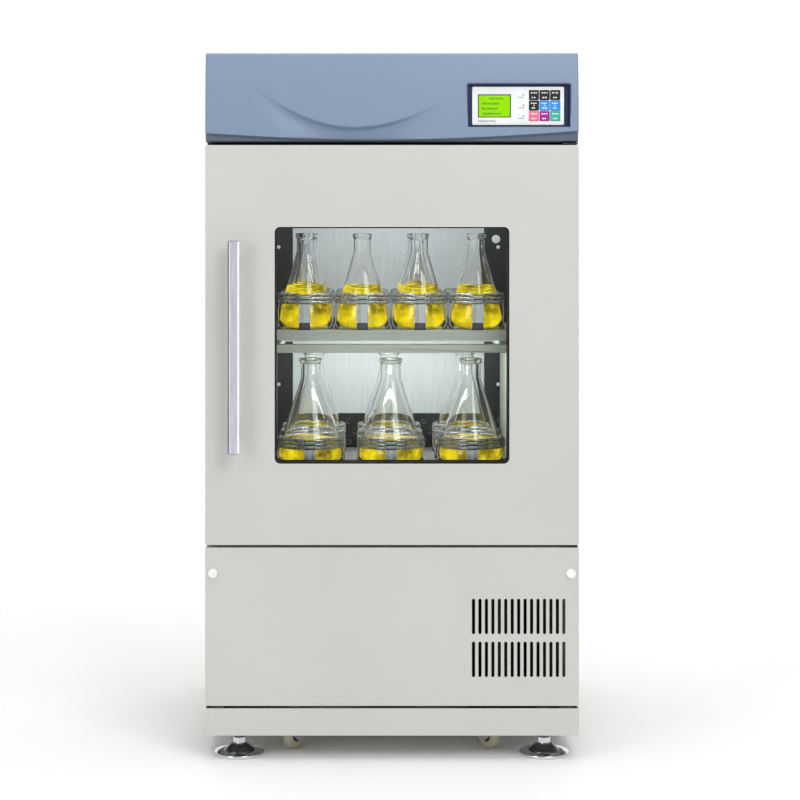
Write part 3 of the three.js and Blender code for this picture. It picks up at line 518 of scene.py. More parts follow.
def dress(name, material, bevel=0.0):
    """Gives a CAD node its material, smooth shading and, where asked, softened edges."""
    node = nodes[name]
    node.data.materials.clear()
    node.data.materials.append(material)
    if "custom_normal" in node.data.attributes:
        node.data.attributes.remove(node.data.attributes["custom_normal"])
    node.data.shade_smooth()
    weld = node.modifiers.new("weld", "WELD")
    weld.merge_threshold = 1e-5
    if bevel:
        soften = node.modifiers.new("bevel", "BEVEL")
        soften.width = bevel
        soften.segments = 2
        soften.limit_method = "ANGLE"
        soften.angle_limit = math.radians(40)
        soften.harden_normals = False
        soften.use_clamp_overlap = True
    node.data.set_sharp_from_angle(angle=math.radians(40))
    flatten_normals(node)


# --- Hood ---

HOOD_LOW, HOOD_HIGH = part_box("head_fascia")
HOOD_TOP_RADIUS = 0.006
PLATE_LOW, PLATE_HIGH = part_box("control_plate")
# The left, right, lower and upper edge of the opening for the control panel.
PANEL_OPENING = (0.15, 0.353, 1.2525, 1.338)


def smooth_step(value, start, stop):
    t = min(1.0, max(0.0, (value - start) / (stop - start)))
    return t * t * (3 - 2 * t)


def crease_height(x):
    """Height of the hood's curved lower crease, which sags between its ends."""
    middle, reach, lowest, climb, flattening = -0.03, 0.37, 0.0045, 0.0165, 0.12
    rise = ((x - middle) / reach) ** 2
    return HOOD_LOW.z + lowest + climb * rise / (1 + flattening * rise)


def swoosh_height(x):
    """Height of the sweeping line pressed into the hood's face."""
    lowest = Vector((-0.074, 1.2525))
    left, right = 2.05, 1.75
    offset = x - lowest.x
    rise = left * offset**2 if offset < 0 else right * offset**2
    return lowest.y + rise


def swoosh_depth(x, z):
    """How far the face is pushed back: a lip on the sweeping line, and a hollow that fades out below."""
    lip, lip_above, lip_below = 0.0012, 0.022, 0.003
    depth, onset, reach = 0.014, 0.0042, 0.048
    strength = smooth_step(x, -0.285, -0.15) * (1 - smooth_step(x, -0.02, 0.11))
    below = swoosh_height(x) - z
    if below < 0:
        return -lip * strength * math.exp(-((below / lip_above) ** 2))
    hollow = depth * (1 - math.exp(-below / onset)) * math.exp(-((below / reach) ** 2))
    return strength * (hollow - lip * math.exp(-((below / lip_below) ** 2)))


def hood_sections(x, levels):
    """The hood's outline in Y and Z at one X, from its lower back edge round to its top."""
    front, back = HOOD_LOW.y, HOOD_HIGH.y
    bottom, top = HOOD_LOW.z, HOOD_HIGH.z
    crease = crease_height(x)
    corner, hem, roll, undercut, undercut_onset = 0.005, 0.0022, 8, 0.01, 0.0024
    side = max(0.0, abs(x) - (HOOD_HIGH.x - corner))
    face = front + corner - math.sqrt(max(0.0, corner**2 - side**2))
    section = [(back, bottom), (face + 0.02, bottom), (face + 0.014, bottom + 0.0006)]
    for i in range(roll + 1):
        z = bottom + hem + (crease - bottom - hem) * i / roll
        section.append((face + 0.001 + undercut * (1 - math.exp((z - crease) / undercut_onset)), z))
    section.append((face + 0.0002, crease + 0.0012))
    shelf, steps = crease + 0.0028, 12
    for i in range(steps):
        z = shelf + (levels[0] - shelf) * i / steps
        section.append((face + 0.0002 + swoosh_depth(x, z), z))
    for z in levels:
        rake = 0.011 * ((z - 1.25) / 0.14) ** 2.2 if z > 1.25 else 0.0
        section.append((face + 0.0002 + rake + swoosh_depth(x, z), z))
    start_y, start_z = section[-1]
    for across, up in arc(0, 0, 1, 0, 90, 6)[1:]:
        section.append((start_y + HOOD_TOP_RADIUS * (1 - across), start_z + (top - start_z) * up))
    section.append((back, top))
    return section


def hood_mesh():
    """The hood's shell with its opening for the control panel; the faces below the crease take a darker
    paint, a painted shade on the undercut band.
    """
    left, right, bottom, top = PANEL_OPENING
    step = 0.0025
    xs = {HOOD_LOW.x, HOOD_HIGH.x, left, right}
    count = round((HOOD_HIGH.x - HOOD_LOW.x) / step)
    xs |= {round(HOOD_LOW.x + step * i, 6) for i in range(1, count)}
    xs |= {sign * (HOOD_HIGH.x - inset) for sign in (-1, 1) for inset in (0.0006, 0.0014, 0.0034)}
    xs = sorted(x for x in xs if all(abs(x - e) > 0.0009 or x == e for e in (left, right)))
    levels = [bottom + (top - bottom) * i / 48 for i in range(49)]
    levels += [top + (HOOD_HIGH.z - HOOD_TOP_RADIUS - top) * i / 20 for i in range(1, 21)]
    bm = bmesh.new()
    columns = [[bm.verts.new((x, y, z)) for y, z in hood_sections(x, levels)] for x in xs]
    for here, there in zip(columns, columns[1:]):
        for j in range(len(here) - 1):
            middle_x = (here[j].co.x + there[j].co.x) / 2
            middle_z = (here[j].co.z + here[j + 1].co.z) / 2
            if left < middle_x < right and bottom < middle_z < top and here[j].co.y < -0.25:
                continue
            face = bm.faces.new((here[j], there[j], there[j + 1], here[j + 1]))
            # Faces below the crease get the darker paint, a painted shade for the undercut band.
            face.material_index = 1 if middle_z < crease_height(middle_x) else 0
    for column in (columns[0], columns[-1]):
        bm.faces.new(column)
    return merged(bm, 50.0)


def bezel_shapes():
    """The navy frame sunk in the hood round the control plate."""
    left, right, bottom, top = PANEL_OPENING
    front = HOOD_LOW.y
    floor = PLATE_HIGH.y
    ring = upright_plate(
        rounded(left - 0.001, right + 0.001, bottom - 0.001, top + 0.001, 0.003),
        [rounded(left + 0.0022, right - 0.0022, bottom + 0.0018, top - 0.0018, 0.0025)],
        front + 0.0004,
        floor,
        0.0006,
    )
    lap = 0.003
    behind_plate = frame_outline(PLATE_LOW, PLATE_HIGH, lap, lap)
    outline = rounded(left, right, bottom, top, 0.003)
    back = upright_plate(outline, [behind_plate], PLATE_LOW.y + 0.0016, floor, 0.0003)
    margin = bar((right - 0.0095, PLATE_LOW.y - 0.0012, bottom + 0.003), (right - 0.007, floor, top - 0.003))
    return [(ring, NAVY), (back, NAVY), (margin, NAVY)]


# --- Control panel ---

KEY_BLACK = moulded("key_black_a", 0x101116, 0.35)
KEY_BLUE = moulded("key_blue", 0x2B8FE6, 0.35)
KEY_PINK = moulded("key_pink", 0xF2708C, 0.35)
KEY_MAGENTA = moulded("key_magenta", 0xA0148C, 0.35)
KEY_TEAL = moulded("key_teal", 0x31AF96, 0.35)
KEY_ROWS = (
    (KEY_BLACK, KEY_BLACK, KEY_BLACK),
    (KEY_BLACK, KEY_BLUE, KEY_BLUE),
    (KEY_PINK, KEY_MAGENTA, KEY_TEAL),
)
# The finish of each key by its row and column, counted from the upper left.
KEY_FINISHES = {(i, j): paint for i, row in enumerate(KEY_ROWS, 1) for j, paint in enumerate(row, 1)}


def dashes(x0, x1, z, height, y, pattern, seed):
    """A row of short printed bars, standing for a label without being one."""
    draw = random.Random(seed)
    shapes = []
    x = x0
    while x < x1 - pattern * 0.5:
        length = min(x1 - x, pattern * draw.uniform(0.7, 1.6))
        shapes.append(bar((x, y, z), (x + length, y + 0.0003, z + height), 0.00005, 1))
        x += length + pattern * draw.uniform(0.35, 0.7)
    return shapes


def control_plate_shapes():
    """The white plate with openings for its display and keys, three indicators and their plain labels."""
    low, high = PLATE_LOW, PLATE_HIGH
    lcd_low, lcd_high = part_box("lcd_display")
    play = 0.0004
    holes = [frame_outline(lcd_low, lcd_high, -play, 0.0008)]
    for row, column in KEY_FINISHES:
        holes.append(frame_outline(*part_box(f"key_{row}_{column}"), -play, 0.0018))
    # The bars between the keys are 0.7 mm wide, so the rounding has to stay under half of that.
    sheet = upright_plate(frame_outline(low, high, 0.0, 0.0025), holes, low.y, high.y, 0.00025)
    shapes = [(sheet, WHITE_PLATE)]
    printed = low.y - 0.0001
    lamp = [(0.0, 0.0), (0.0014, 0.0), (0.0012, 0.0006), (0.0, 0.0008)]
    lamp_x, label_left, label_right = 0.2602, 0.2505, 0.2615
    for row, z in enumerate((1.3145, 1.2935, 1.2725)):
        shapes.append(fitting(lamp, 20, LED_DARK, lamp_x, low.y, z + 0.002))
        label = dashes(label_left, label_right, z - 0.0035, 0.0014, printed, 0.0018, row)
        shapes += [(mark, INK) for mark in label]
    caption_right, caption_heights = 0.2065, (1.2655, 1.2626)
    for line, z in enumerate(caption_heights):
        caption = dashes(lcd_low.x, caption_right, z, 0.0012, printed, 0.0022, 10 + line)
        shapes += [(mark, INK) for mark in caption]
    return shapes


def lcd_shapes():
    """A backlit display with a dark surround and lines of plain blocks."""
    low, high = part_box("lcd_display")
    rim = 0.0013
    outer, inner = (frame_outline(low, high, inset, 0.0006) for inset in (0.0, rim))
    surround = upright_plate(outer, [inner], low.y - 0.0009, high.y, 0.0002)
    screen = bar((low.x + rim, low.y, low.z + rim), (high.x - rim, high.y, high.z - rim), 0.0002)
    shapes = [(surround, INK), (screen, LCD)]
    rows = ((0.34, 0.8, 0.83), (0.12, 0.66, 0.61), (0.12, 0.62, 0.39), (0.14, 0.7, 0.17))
    width, depth = high.x - low.x, high.z - low.z
    for seed, (start, stop, level) in enumerate(rows):
        z = low.z + depth * level - 0.0022
        x0, x1 = low.x + width * start, low.x + width * stop
        line = dashes(x0, x1, z, 0.0038, low.y - 0.0002, 0.0026, 20 + seed)
        shapes += [(mark, LCD_INK) for mark in line]
    return shapes


def key_shapes(row, column):
    """A membrane key with a softened face and plain printed marks."""
    low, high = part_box(f"key_{row}_{column}")
    cap = upright_plate(frame_outline(low, high, 0.0, 0.0018), [], low.y, high.y, 0.0007)
    shapes = [(cap, KEY_FINISHES[row, column])]
    middle = (low.x + high.x) / 2
    seed = 100 + row * 3 + column
    y = low.y - 0.0001
    marks = dashes(middle - 0.0062, middle + 0.0062, high.z - 0.0062, 0.0022, y, 0.0024, seed)
    marks += dashes(middle - 0.0042, middle + 0.0042, low.z + 0.0035, 0.0026, y, 0.0026, seed + 50)
    if row == 2:
        dot = turned([(0.0, 0.0), (0.0013, 0.0), (0.0012, 0.0003), (0.0, 0.0003)], 16, UPRIGHT)
        marks.append(moved(dot, middle, low.y + 0.0001, (low.z + high.z) / 2))
    return shapes + [(mark, WHITE_PLASTIC) for mark in marks]


# --- Door and panels ---

DOOR_LOW, DOOR_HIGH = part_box("door_outer_shell")
GLASS_LOW, GLASS_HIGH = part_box("outer_glass")
WINDOW_RADIUS = 0.01


def window(offset):
    """The outline of the door's window, grown outwards by an offset from the glass."""
    return frame_outline(GLASS_LOW, GLASS_HIGH, -offset, WINDOW_RADIUS + offset, 10)


def door_shapes():
    """The door's skin, with the rolled lip and the seal of its window; the lip is painted lighter than the
    skin, a painted highlight.
    """
    outline = frame_outline(DOOR_LOW, DOOR_HIGH, 0.0, 0.003)
    skin = upright_plate(outline, [window(0.0012)], DOOR_LOW.y, DOOR_HIGH.y, 0.0014)
    front, back = DOOR_LOW.y, DOOR_HIGH.y
    seal = upright_plate(window(0.0011), [window(-0.0006)], front + 0.0012, front + 0.006, 0.0003)
    spacer = upright_plate(window(0.001), [window(-0.0012)], GLASS_HIGH.y + 0.0004, back - 0.001, 0.0004)
    # The rolled lip round the window, in its lighter paint as a painted highlight.
    bead = upright_plate(window(0.003), [window(0.0011)], front - 0.0006, front + 0.0012, 0.0005)
    return [(skin, CREAM), (bead, BEAD_PAINTED_HIGHLIGHT), (seal, BLACK_RUBBER), (spacer, BLACK_RUBBER)]


def inner_panel_shapes():
    low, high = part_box("door_inner_panel")
    outline = frame_outline(low, high, 0.0, 0.004)
    skin = upright_plate(outline, [window(0.0012)], low.y, high.y, 0.0016)
    seal = upright_plate(window(0.0011), [window(-0.0015)], low.y + 0.001, high.y - 0.002, 0.0005)
    return [(skin, DOOR_LINER), (seal, BLACK_RUBBER)]


def gasket_shapes():
    """A hollow magnetic seal: a base strip and two soft ribs."""
    low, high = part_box("door_gasket")
    width = 0.014

    def ring(inset_out, inset_in, y0, y1):
        outer, inner = (frame_outline(low, high, inset, 0.006) for inset in (inset_out, inset_in))
        return upright_plate(outer, [inner], y0, y1, 0.0012)

    return [
        (ring(0.0, width, low.y, low.y + 0.004), BLACK_RUBBER),
        (ring(0.0005, 0.006, low.y + 0.002, high.y), BLACK_RUBBER),
        (ring(0.0075, width - 0.0005, low.y + 0.002, high.y - 0.001), BLACK_RUBBER),
    ]


def hood_seal_shapes():
    """The soft strip that closes the gap between the door's top edge and the hood, black as painted shade for
    the dark gap.
    """
    z0, z1 = DOOR_HIGH.z + 0.0008, HOOD_LOW.z - 0.0002
    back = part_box("chamber_liner")[0].y - 0.0006
    strip = bar((DOOR_LOW.x + 0.002, back - 0.006, z0), (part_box("top_hinge")[0].x - 0.001, back, z1), 0.001)
    return [(strip, BLACK_RUBBER)]


def handle_shapes():
    """An anodised bar with capped ends on two turned stand-offs, a painted highlight strip along its right
    edge and a painted shade strip along its left edge.
    """
    low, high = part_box("door_handle")
    grip_depth, cap, stand_off_heights = 0.016, 0.0016, (0.649, 0.984)
    section = rounded(low.x, high.x, low.y, low.y + grip_depth, 0.0045)
    bottom, top = low.z + cap, high.z - cap
    front, back = low.y + 0.0002, low.y + 0.012
    grip = plate(section, [], bottom, top, 0.0004)
    # Painted highlight strip on the right edge, painted shade strip on the left edge.
    bright = bar((high.x - 0.0044, front, bottom), (high.x + 0.0002, back, top), 0.0018, 3)
    shaded = bar((low.x - 0.0002, front, bottom), (low.x + 0.0028, back, top), 0.0012, 3)
    shapes = [(grip, ANODISED), (bright, HANDLE_PAINTED_HIGHLIGHT), (shaded, SHADED_EDGE)]
    shapes += [(plate(section, [], z, z + cap, 0.0007), ZINC) for z in (low.z, top)]
    profile = [(0.0, 0.0), (0.0075, 0.0), (0.0075, 0.006), (0.0062, 0.008), (0.0062, 0.022)]
    profile += [(0.0095, 0.0245), (0.0095, 0.0305), (0.009, 0.0312), (0.0, 0.0312)]
    x = (low.x + high.x) / 2
    for z in stand_off_heights:
        shapes.append(fitting(profile, 40, CHROME, x, low.y + 0.0143, z, BACKWARDS))
    return shapes


def slot_outline(x, z0, z1, width):
    return rounded(x - width / 2, x + width / 2, z0, z1, width / 2 - 1e-5, 5)


def stem_notch(side):
    """The notch in the panel's bottom flange round a front foot's stem, from right to left."""
    x, y, _ = middle_of(f"foot_front_{side}")
    return arc(x, y, 0.0122, 14, -208, 12)


def lower_panel_shapes():
    """The folded panel of the machine compartment, with its two rows of air slots."""
    low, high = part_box("lower_front_panel")
    count, first, pitch, width = 15, 0.1613, 0.01277, 0.0062
    slots = [
        slot_outline(first + i * pitch, z0, z1, width)
        for z0, z1 in ((0.249, 0.319), (0.164, 0.234))
        for i in range(count)
    ]
    knobs = []
    for side in ("left", "right"):
        x, _, z = middle_of(f"panel_knob_{side}")
        knobs.append(circle(x, z, 0.0042))
    outline = frame_outline(low, high, 0.0, 0.0025)
    face = upright_plate(outline, slots + knobs, low.y, low.y + 0.0016, 0.0005)
    inset = 0.0016
    opening = frame_outline(low, high, inset, 0.0015)
    arch = upright_plate(outline + opening[::-1], [], low.y + 0.0006, high.y, 0.0006)
    x0, x1, y0 = low.x + inset, high.x - inset, low.y + 0.0006
    edge = [(x0, y0), (x1, y0), (x1, high.y), *stem_notch("right"), *stem_notch("left"), (x0, high.y)]
    flange = plate(edge, [], low.z, low.z + inset, 0.0004)
    return [(face, CREAM), (arch, CREAM), (flange, CREAM)]


def knob_shapes(side):
    """A quarter-turn fastener: a domed white head with a coin slot, its shank and its cam."""
    low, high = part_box(f"panel_knob_{side}")
    x, z = (low.x + high.x) / 2, (low.z + high.z) / 2
    head = [(0.0, 0.0), (0.0095, 0.0), (0.0095, 0.0032), (0.0088, 0.0048), (0.0066, 0.0057), (0.0, 0.006)]
    shank = [(0.0, -0.05), (0.0032, -0.05), (0.0032, 0.001), (0.0, 0.001)]
    panel_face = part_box("lower_front_panel")[0].y - 0.0003
    dome = fitting(head, 48, WHITE_PLASTIC, x, panel_face, z)
    stem = fitting(shank, 24, ZINC, x, panel_face, z)
    slot_low, slot_high = low.y - 0.0002, low.y + 0.0008
    coin_slot = bar((x - 0.0058, slot_low, z - 0.0006), (x + 0.0058, slot_high, z + 0.0006), 0.0002)
    cam = bar((x - 0.007, high.y - 0.003, z - 0.003), (x + 0.007, high.y, z + 0.003), 0.0006)
    return [dome, stem, (coin_slot, WHITE_PLATE), (cam, ZINC)]


# --- Feet and casters ---


def foot_shapes(corner):
    """A levelling foot: polished pad, dark cone, hexagon and threaded stem."""
    x, y, _ = middle_of(f"foot_{corner}")
    pad = [(0.0, 0.0), (0.0485, 0.0), (0.0496, 0.0006), (0.05, 0.0015), (0.05, 0.005)]
    pad += [(0.0494, 0.006), (0.048, 0.0066), (0.033, 0.0085), (0.0, 0.009)]
    cone = [(0.031, 0.0078), (0.031, 0.0098), (0.03, 0.0108), (0.0168, 0.0205)]
    cone += [(0.0155, 0.0213), (0.0, 0.0216)]
    collar = [(0.0, 0.02), (0.0112, 0.02), (0.012, 0.0215), (0.012, 0.0225)]
    collar += [(0.0106, 0.024), (0.0, 0.0245)]
    nut = [(0.0, 0.0235), (0.0125, 0.0235), (0.0138, 0.0245), (0.0138, 0.034)]
    nut += [(0.0125, 0.035), (0.0, 0.035)]
    hexagon = turned(nut, 6)
    hexagon.transform(Matrix.Rotation(math.radians(30), 4, "Z"))
    hexagon.set_sharp_from_angle(angle=math.radians(20))
    shapes = [(turned(pad, 96), CHROME), (turned(cone, 96), FOOT_CONE), (turned(collar, 64), CHROME)]
    shapes += [(hexagon, CHROME), (turned(thread_profile(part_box(f"foot_{corner}")[1].z), 32), ZINC)]
    # A dark disc on the pad: painted shade for a hole.
    hole = turned([(0.0, 0.0072), (0.0042, 0.0072), (0.0046, 0.0078), (0.0, 0.0079)], 24)
    shapes.append((moved(hole, 0.0, -0.0395, 0.0002), INK))
    return [(moved(mesh, x, y, 0.0), material) for mesh, material in shapes]


def thread_profile(top):
    """The profile of a foot's threaded stem, from inside its nut to its top."""
    root, crest, first, turns, pitch = 0.0082, 0.0092, 0.035, 30, 0.0025
    profile = [(0.0, first - 0.002)]
    for i in range(turns):
        z = first + i * pitch
        profile += [(root, z), (crest, z + pitch * 0.4), (crest, z + pitch * 0.6)]
    return profile + [(root, top - 0.0005), (0.0, top)]


def wheel_shapes(corner):
    """A nylon wheel with a crowned tread and a black dust ring on each side."""
    low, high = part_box(f"caster_{corner}_wheel")
    centre = (low + high) / 2
    axis = Vector(joints[f"caster_{corner}_roll"]["axis"]).normalized()
    place = Matrix.Translation(centre) @ axis.to_track_quat("Z", "Y").to_matrix().to_4x4()
    tread = [(0.0046, -0.0108), (0.0165, -0.011), (0.0195, -0.0106), (0.0228, -0.0088), (0.0246, -0.005)]
    tread += [(0.025, 0.0)]
    tread += [(radius, -z) for radius, z in reversed(tread[:-1])]
    tread.append(tread[0])
    ring = [(0.0046, 0.0108), (0.0105, 0.0108), (0.0108, 0.0116)]
    ring += [(0.0105, 0.0122), (0.0062, 0.0122), (0.0046, 0.0108)]
    shapes = [(turned(tread, 64, place), IVORY)]
    for flip in (1, -1):
        side = place @ Matrix.Diagonal((1, 1, flip, 1))
        shapes.append((turned(ring, 40, side), BLACK_PLASTIC))
    return shapes



# --- Flasks and clamps ---


class Load:
    """One tray's standard conical flasks, and the clamps that hold them."""

    def __init__(self, clamps, columns, pitch, rows, filled, radius, height, neck, rim, level, belt):
        self.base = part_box(clamps)[0].z
        self.clamps = clamps
        self.places = [((i - (columns - 1) / 2) * pitch, y) for y in rows for i in range(columns)]
        self.filled = filled
        self.radius, self.height, self.neck, self.rim = radius, height, neck, rim
        self.level, self.belt = level, belt


# A load's places count from the front left; the filled ones hold a flask.
UPPER = Load(
    clamps="upper_clamps",
    columns=4,
    pitch=0.1175,
    rows=(-0.152, -0.017, 0.118),
    filled=(1, 2, 3, 4, 5, 7, 9, 11),
    radius=0.0525,
    height=0.194,
    neck=0.0178,
    rim=0.0203,
    level=0.088,
    belt=0.06,
)
LOWER = Load(
    clamps="lower_clamps",
    columns=3,
    pitch=0.1656,
    rows=(-0.139, 0.001, 0.141),
    filled=(1, 2, 3, 7, 8, 9),
    radius=0.0655,
    height=0.221,
    neck=0.0205,
    rim=0.0245,
    level=0.058,
    belt=0.048,
)
WALL = 0.0018
HEEL = 0.0045


def flask_outline(load, inset):
    """The flask's profile from the middle of its base to its rim, moved inwards by an inset."""
    radius, neck, height = load.radius, load.neck, load.height
    corner = radius * 0.42
    neck_start = height * 0.81
    heel = inset / WALL * HEEL
    points = [(0.0, heel), (radius - corner - inset * 0.5, heel)]
    for across, up in arc(0, 0, 1, -90, 90, 8)[1:]:
        points.append((radius - corner + (corner - inset) * across, corner + (corner - heel) * up))
    shoulder = Vector((radius - inset, corner * 1.12))
    top = Vector((neck - inset, neck_start))
    steps = 14
    for i in range(1, steps + 1):
        t = i / steps
        point = shoulder.lerp(top, t)
        belly = 0.0016 * math.sin(math.pi * min(1.0, t * 1.2)) if t < 0.83 else 0.0
        point.x += belly
        if t > 0.86:
            ease = (t - 0.86) / 0.14
            point.x = max(point.x, neck - inset + 0.0012 * (1 - ease) ** 2)
        points.append((point.x, point.y))
    return points


def flask_mesh(load):
    """A blown flask with real walls, a straight neck and a beaded rim."""
    outer = flask_outline(load, 0.0)
    inner = flask_outline(load, WALL)
    top, rim, neck, bore = load.height, load.rim, load.neck, load.neck - WALL
    lip = [(neck, top - 0.013), (neck + 0.0004, top - 0.0105), (rim - 0.001, top - 0.009)]
    lip += [(rim, top - 0.007), (rim, top - 0.0025), (rim - 0.0008, top - 0.0006), (rim - 0.0022, top)]
    lip += [(bore + 0.0004, top - 0.001), (bore, top - 0.004), (bore, top - 0.013)]
    return turned(outer + lip + list(reversed(inner)), 72)


def liquid_mesh(load):
    """The medium, filling the flask to its level, with the surface curling up at the wall."""
    inner = [(max(0.0, r), z) for r, z in flask_outline(load, WALL * 0.5)]
    below = [point for point in inner if point[1] < load.level]
    above = next(point for point in inner if point[1] >= load.level)
    last = below[-1]
    t = (load.level - last[1]) / (above[1] - last[1])
    wall_radius = last[0] + (above[0] - last[0]) * t
    surface = [(wall_radius, load.level), (wall_radius - 0.0012, load.level - 0.0009)]
    surface += [(wall_radius - 0.0035, load.level - 0.0014), (0.0, load.level - 0.0014)]
    return turned(below + surface, 72)


def strap_path(load):
    """The centre line of one clamp arm in radius and height, from the tray up to its tip."""
    reach = load.radius + 0.0026
    corner = 0.011
    lift = 0.0014
    points = [(0.012, lift), (reach - corner, lift)]
    points += arc(reach - corner, lift + corner, corner, -90, 90, 6)[1:]
    points += [(reach + 0.0006, load.belt * 0.62), (reach - 0.0008, load.belt - 0.006)]
    points += [(reach - 0.003, load.belt + 0.008)]
    return points


def strip_mesh(path, width, thickness, turn):
    """A bent strip of the given width that follows a path in radius and height, turned about Z."""
    bm = bmesh.new()
    rows = []
    for i, (r, z) in enumerate(path):
        before = Vector(path[max(0, i - 1)])
        after = Vector(path[min(len(path) - 1, i + 1)])
        along = (after - before).normalized()
        normal = Vector((along.y, -along.x))
        outer = Vector((r, z)) + normal * thickness / 2
        inner = Vector((r, z)) - normal * thickness / 2
        half = width / 2
        row = [(outer, -half), (outer, half), (inner, half), (inner, -half)]
        rows.append([bm.verts.new((edge.x, side, edge.y)) for edge, side in row])
    for low, high in zip(rows, rows[1:]):
        for i in range(4):
            bm.faces.new((low[i], low[(i + 1) % 4], high[(i + 1) % 4], high[i]))
    bm.faces.new(rows[0])
    bm.faces.new(rows[-1])
    lengthwise = [e for e in bm.edges if len(e.link_faces) == 2 and e.calc_face_angle(0) > 1.2]
    bmesh.ops.bevel(bm, geom=lengthwise, offset=thickness * 0.3, segments=1, affect="EDGES")
    bm.transform(Matrix.Rotation(turn, 4, "Z"))
    return merged(bm, 40.0)


def coil_path(load, height, start, stop, sag):
    """The line of one spring that hugs the flask between two neighbouring arms."""
    reach = load.radius - 0.0015
    points = []
    steps = 14
    for i in range(steps + 1):
        t = i / steps
        angle = start + (stop - start) * t
        pull = math.sin(math.pi * t)
        radius = reach + 0.003 - 0.003 * pull
        points.append((radius * math.cos(angle), radius * math.sin(angle), height - sag * pull))
    return points


def coil_mesh(path, radius, wire, pitch):
    """A helical spring wound along a path, as a ribbed tube with one rib to each turn."""
    lengths = [0.0]
    for a, b in zip(path, path[1:]):
        lengths.append(lengths[-1] + (Vector(b) - Vector(a)).length)
    turns = max(4, int(lengths[-1] / pitch))
    rings = turns * 2
    sides = 8
    bm = bmesh.new()
    rows = []
    for i in range(rings + 1):
        distance = lengths[-1] * i / rings
        index = next(k for k, end in enumerate(lengths) if end >= distance - 1e-9)
        index = max(1, index)
        start, stop = Vector(path[index - 1]), Vector(path[index])
        span = lengths[index] - lengths[index - 1]
        centre = start.lerp(stop, (distance - lengths[index - 1]) / span)
        forward = (stop - start).normalized()
        side = forward.cross(Vector((0, 0, 1))).normalized()
        up = side.cross(forward)
        ring = circle(0, 0, radius if i % 2 else radius - wire, sides)
        rows.append([bm.verts.new(centre + side * across + up * rise) for across, rise in ring])
    for low, high in zip(rows, rows[1:]):
        for j in range(sides):
            bm.faces.new((low[j], low[(j + 1) % sides], high[(j + 1) % sides], high[j]))
    bm.faces.new(rows[0])
    bm.faces.new(rows[-1])
    return merged(bm, 60.0)


def clamp_mesh(load):
    """One sprung clamp: a round foot, four straps with boxed clips, and the springs between them."""
    reach, belt = load.radius, load.belt
    foot = [(0.0, 0.0), (0.031, 0.0), (0.032, 0.0005), (0.032, 0.0016), (0.031, 0.0022), (0.0, 0.0022)]
    rivet, rivet_x, rivet_z = [(0.0, 0.0), (0.0034, 0.0), (0.003, 0.0011), (0.0, 0.0015)], 0.021, 0.0021
    # Inner and outer distance from the flask, half width, bottom, top, edge radius, segments, material.
    blocks = (
        (-0.0015, 0.0046, 0.0118, belt - 0.0066, belt + 0.0012, 0.0026, 3, CLIP_STEEL),
        (-0.0015, 0.0046, 0.0118, belt + 0.0022, belt + 0.01, 0.0026, 3, CLIP_STEEL),
        (-0.001, 0.003, 0.0108, belt - 0.008, belt + 0.0112, 0.001, 2, BLACK_PLASTIC),
        (-0.006, 0.0042, 0.0114, 0.0002, 0.015, 0.002, 3, GREY_RUBBER),
    )
    springs = ((belt - 0.0035, 0.0012), (belt + 0.0035, 0.0), (belt + 0.0105, -0.001))
    shapes = [(turned(foot, 48), SPRING_STEEL)]
    for quarter in range(4):
        turn = math.radians(90 * quarter)
        shapes.append((strip_mesh(strap_path(load), 0.0235, 0.0014, turn), SPRING_STEEL))
        for inner, outer, half, bottom, top, edge, segments, material in blocks:
            block = bar((reach + inner, -half, bottom), (reach + outer, half, top), edge, segments)
            block.transform(Matrix.Rotation(turn, 4, "Z"))
            shapes.append((block, material))
        x, y = rivet_x * math.cos(turn), rivet_x * math.sin(turn)
        shapes.append((moved(turned(rivet, 20), x, y, rivet_z), ZINC))
        for height, sag in springs:
            path = coil_path(load, height, turn + 0.17, turn + math.radians(90) - 0.17, sag)
            shapes.append((coil_mesh(path, 0.0039, 0.0006, 0.003), SPRING_COIL))
    return joined(shapes)


def stand_load(load, label):
    """Puts a clamp at every place on a tray, and a flask and its medium at each filled one."""
    clamp = clamp_mesh(load)
    flask = joined([(flask_mesh(load), FLASK_GLASS)])
    liquid = joined([(liquid_mesh(load), MEDIUM)])
    glass_base = load.base + 0.0026
    for index, (x, y) in enumerate(load.places):
        spots = [(clamp, "clamp", load.base)]
        if index + 1 in load.filled:
            spots += [(flask, "flask", glass_base), (liquid, "medium", glass_base)]
        for mesh, kind, z in spots:
            piece = bpy.data.objects.new(f"{label}_{kind}_{index + 1}", mesh)
            bpy.context.scene.collection.objects.link(piece)
            piece.location = (x, y, z)
            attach(piece, "carriage")
            if kind == "clamp":
                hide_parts(load.clamps)


# --- Chamber fittings ---


def perforation_shapes():
    """Punched holes with raised bright lips in the black panel below the back cover; each hole is a dark
    disc, painted shade for its opening.
    """
    low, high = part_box("air_duct_panel")
    cover_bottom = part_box("duct_cover")[0].z
    fan_z = joints["circulation_fan_spin"]["pos_m"][2]
    pitch_x, pitch_z, radius = 0.0285, 0.0235, 0.005
    lip = [(radius - 0.001, 0.0), (radius - 0.0002, 0.0022), (radius + 0.001, 0.0022)]
    lip += [(radius + 0.0016, 0.0), (radius - 0.001, 0.0)]
    # A dark disc inside each lip: painted shade for the hole.
    well = [(0.0, 0.0002), (radius - 0.0008, 0.0002), (radius - 0.0008, 0.0), (0.0, 0.0)]
    shapes = []
    rows = int((cover_bottom - low.z - 0.02) / pitch_z)
    columns = int((high.x - low.x - 0.03) / pitch_x)
    for row in range(rows):
        offset = 0.5 * pitch_x * (row % 2)
        for column in range(columns):
            x = low.x + 0.022 + column * pitch_x + offset
            z = cover_bottom - 0.018 - row * pitch_z
            if x > high.x - 0.012 or math.hypot(x, z - fan_z) < 0.078:
                continue
            shapes.append(fitting(lip, 12, LIP_STEEL, x, low.y, z))
            shapes.append(fitting(well, 12, INK, x, low.y, z))
    return shapes


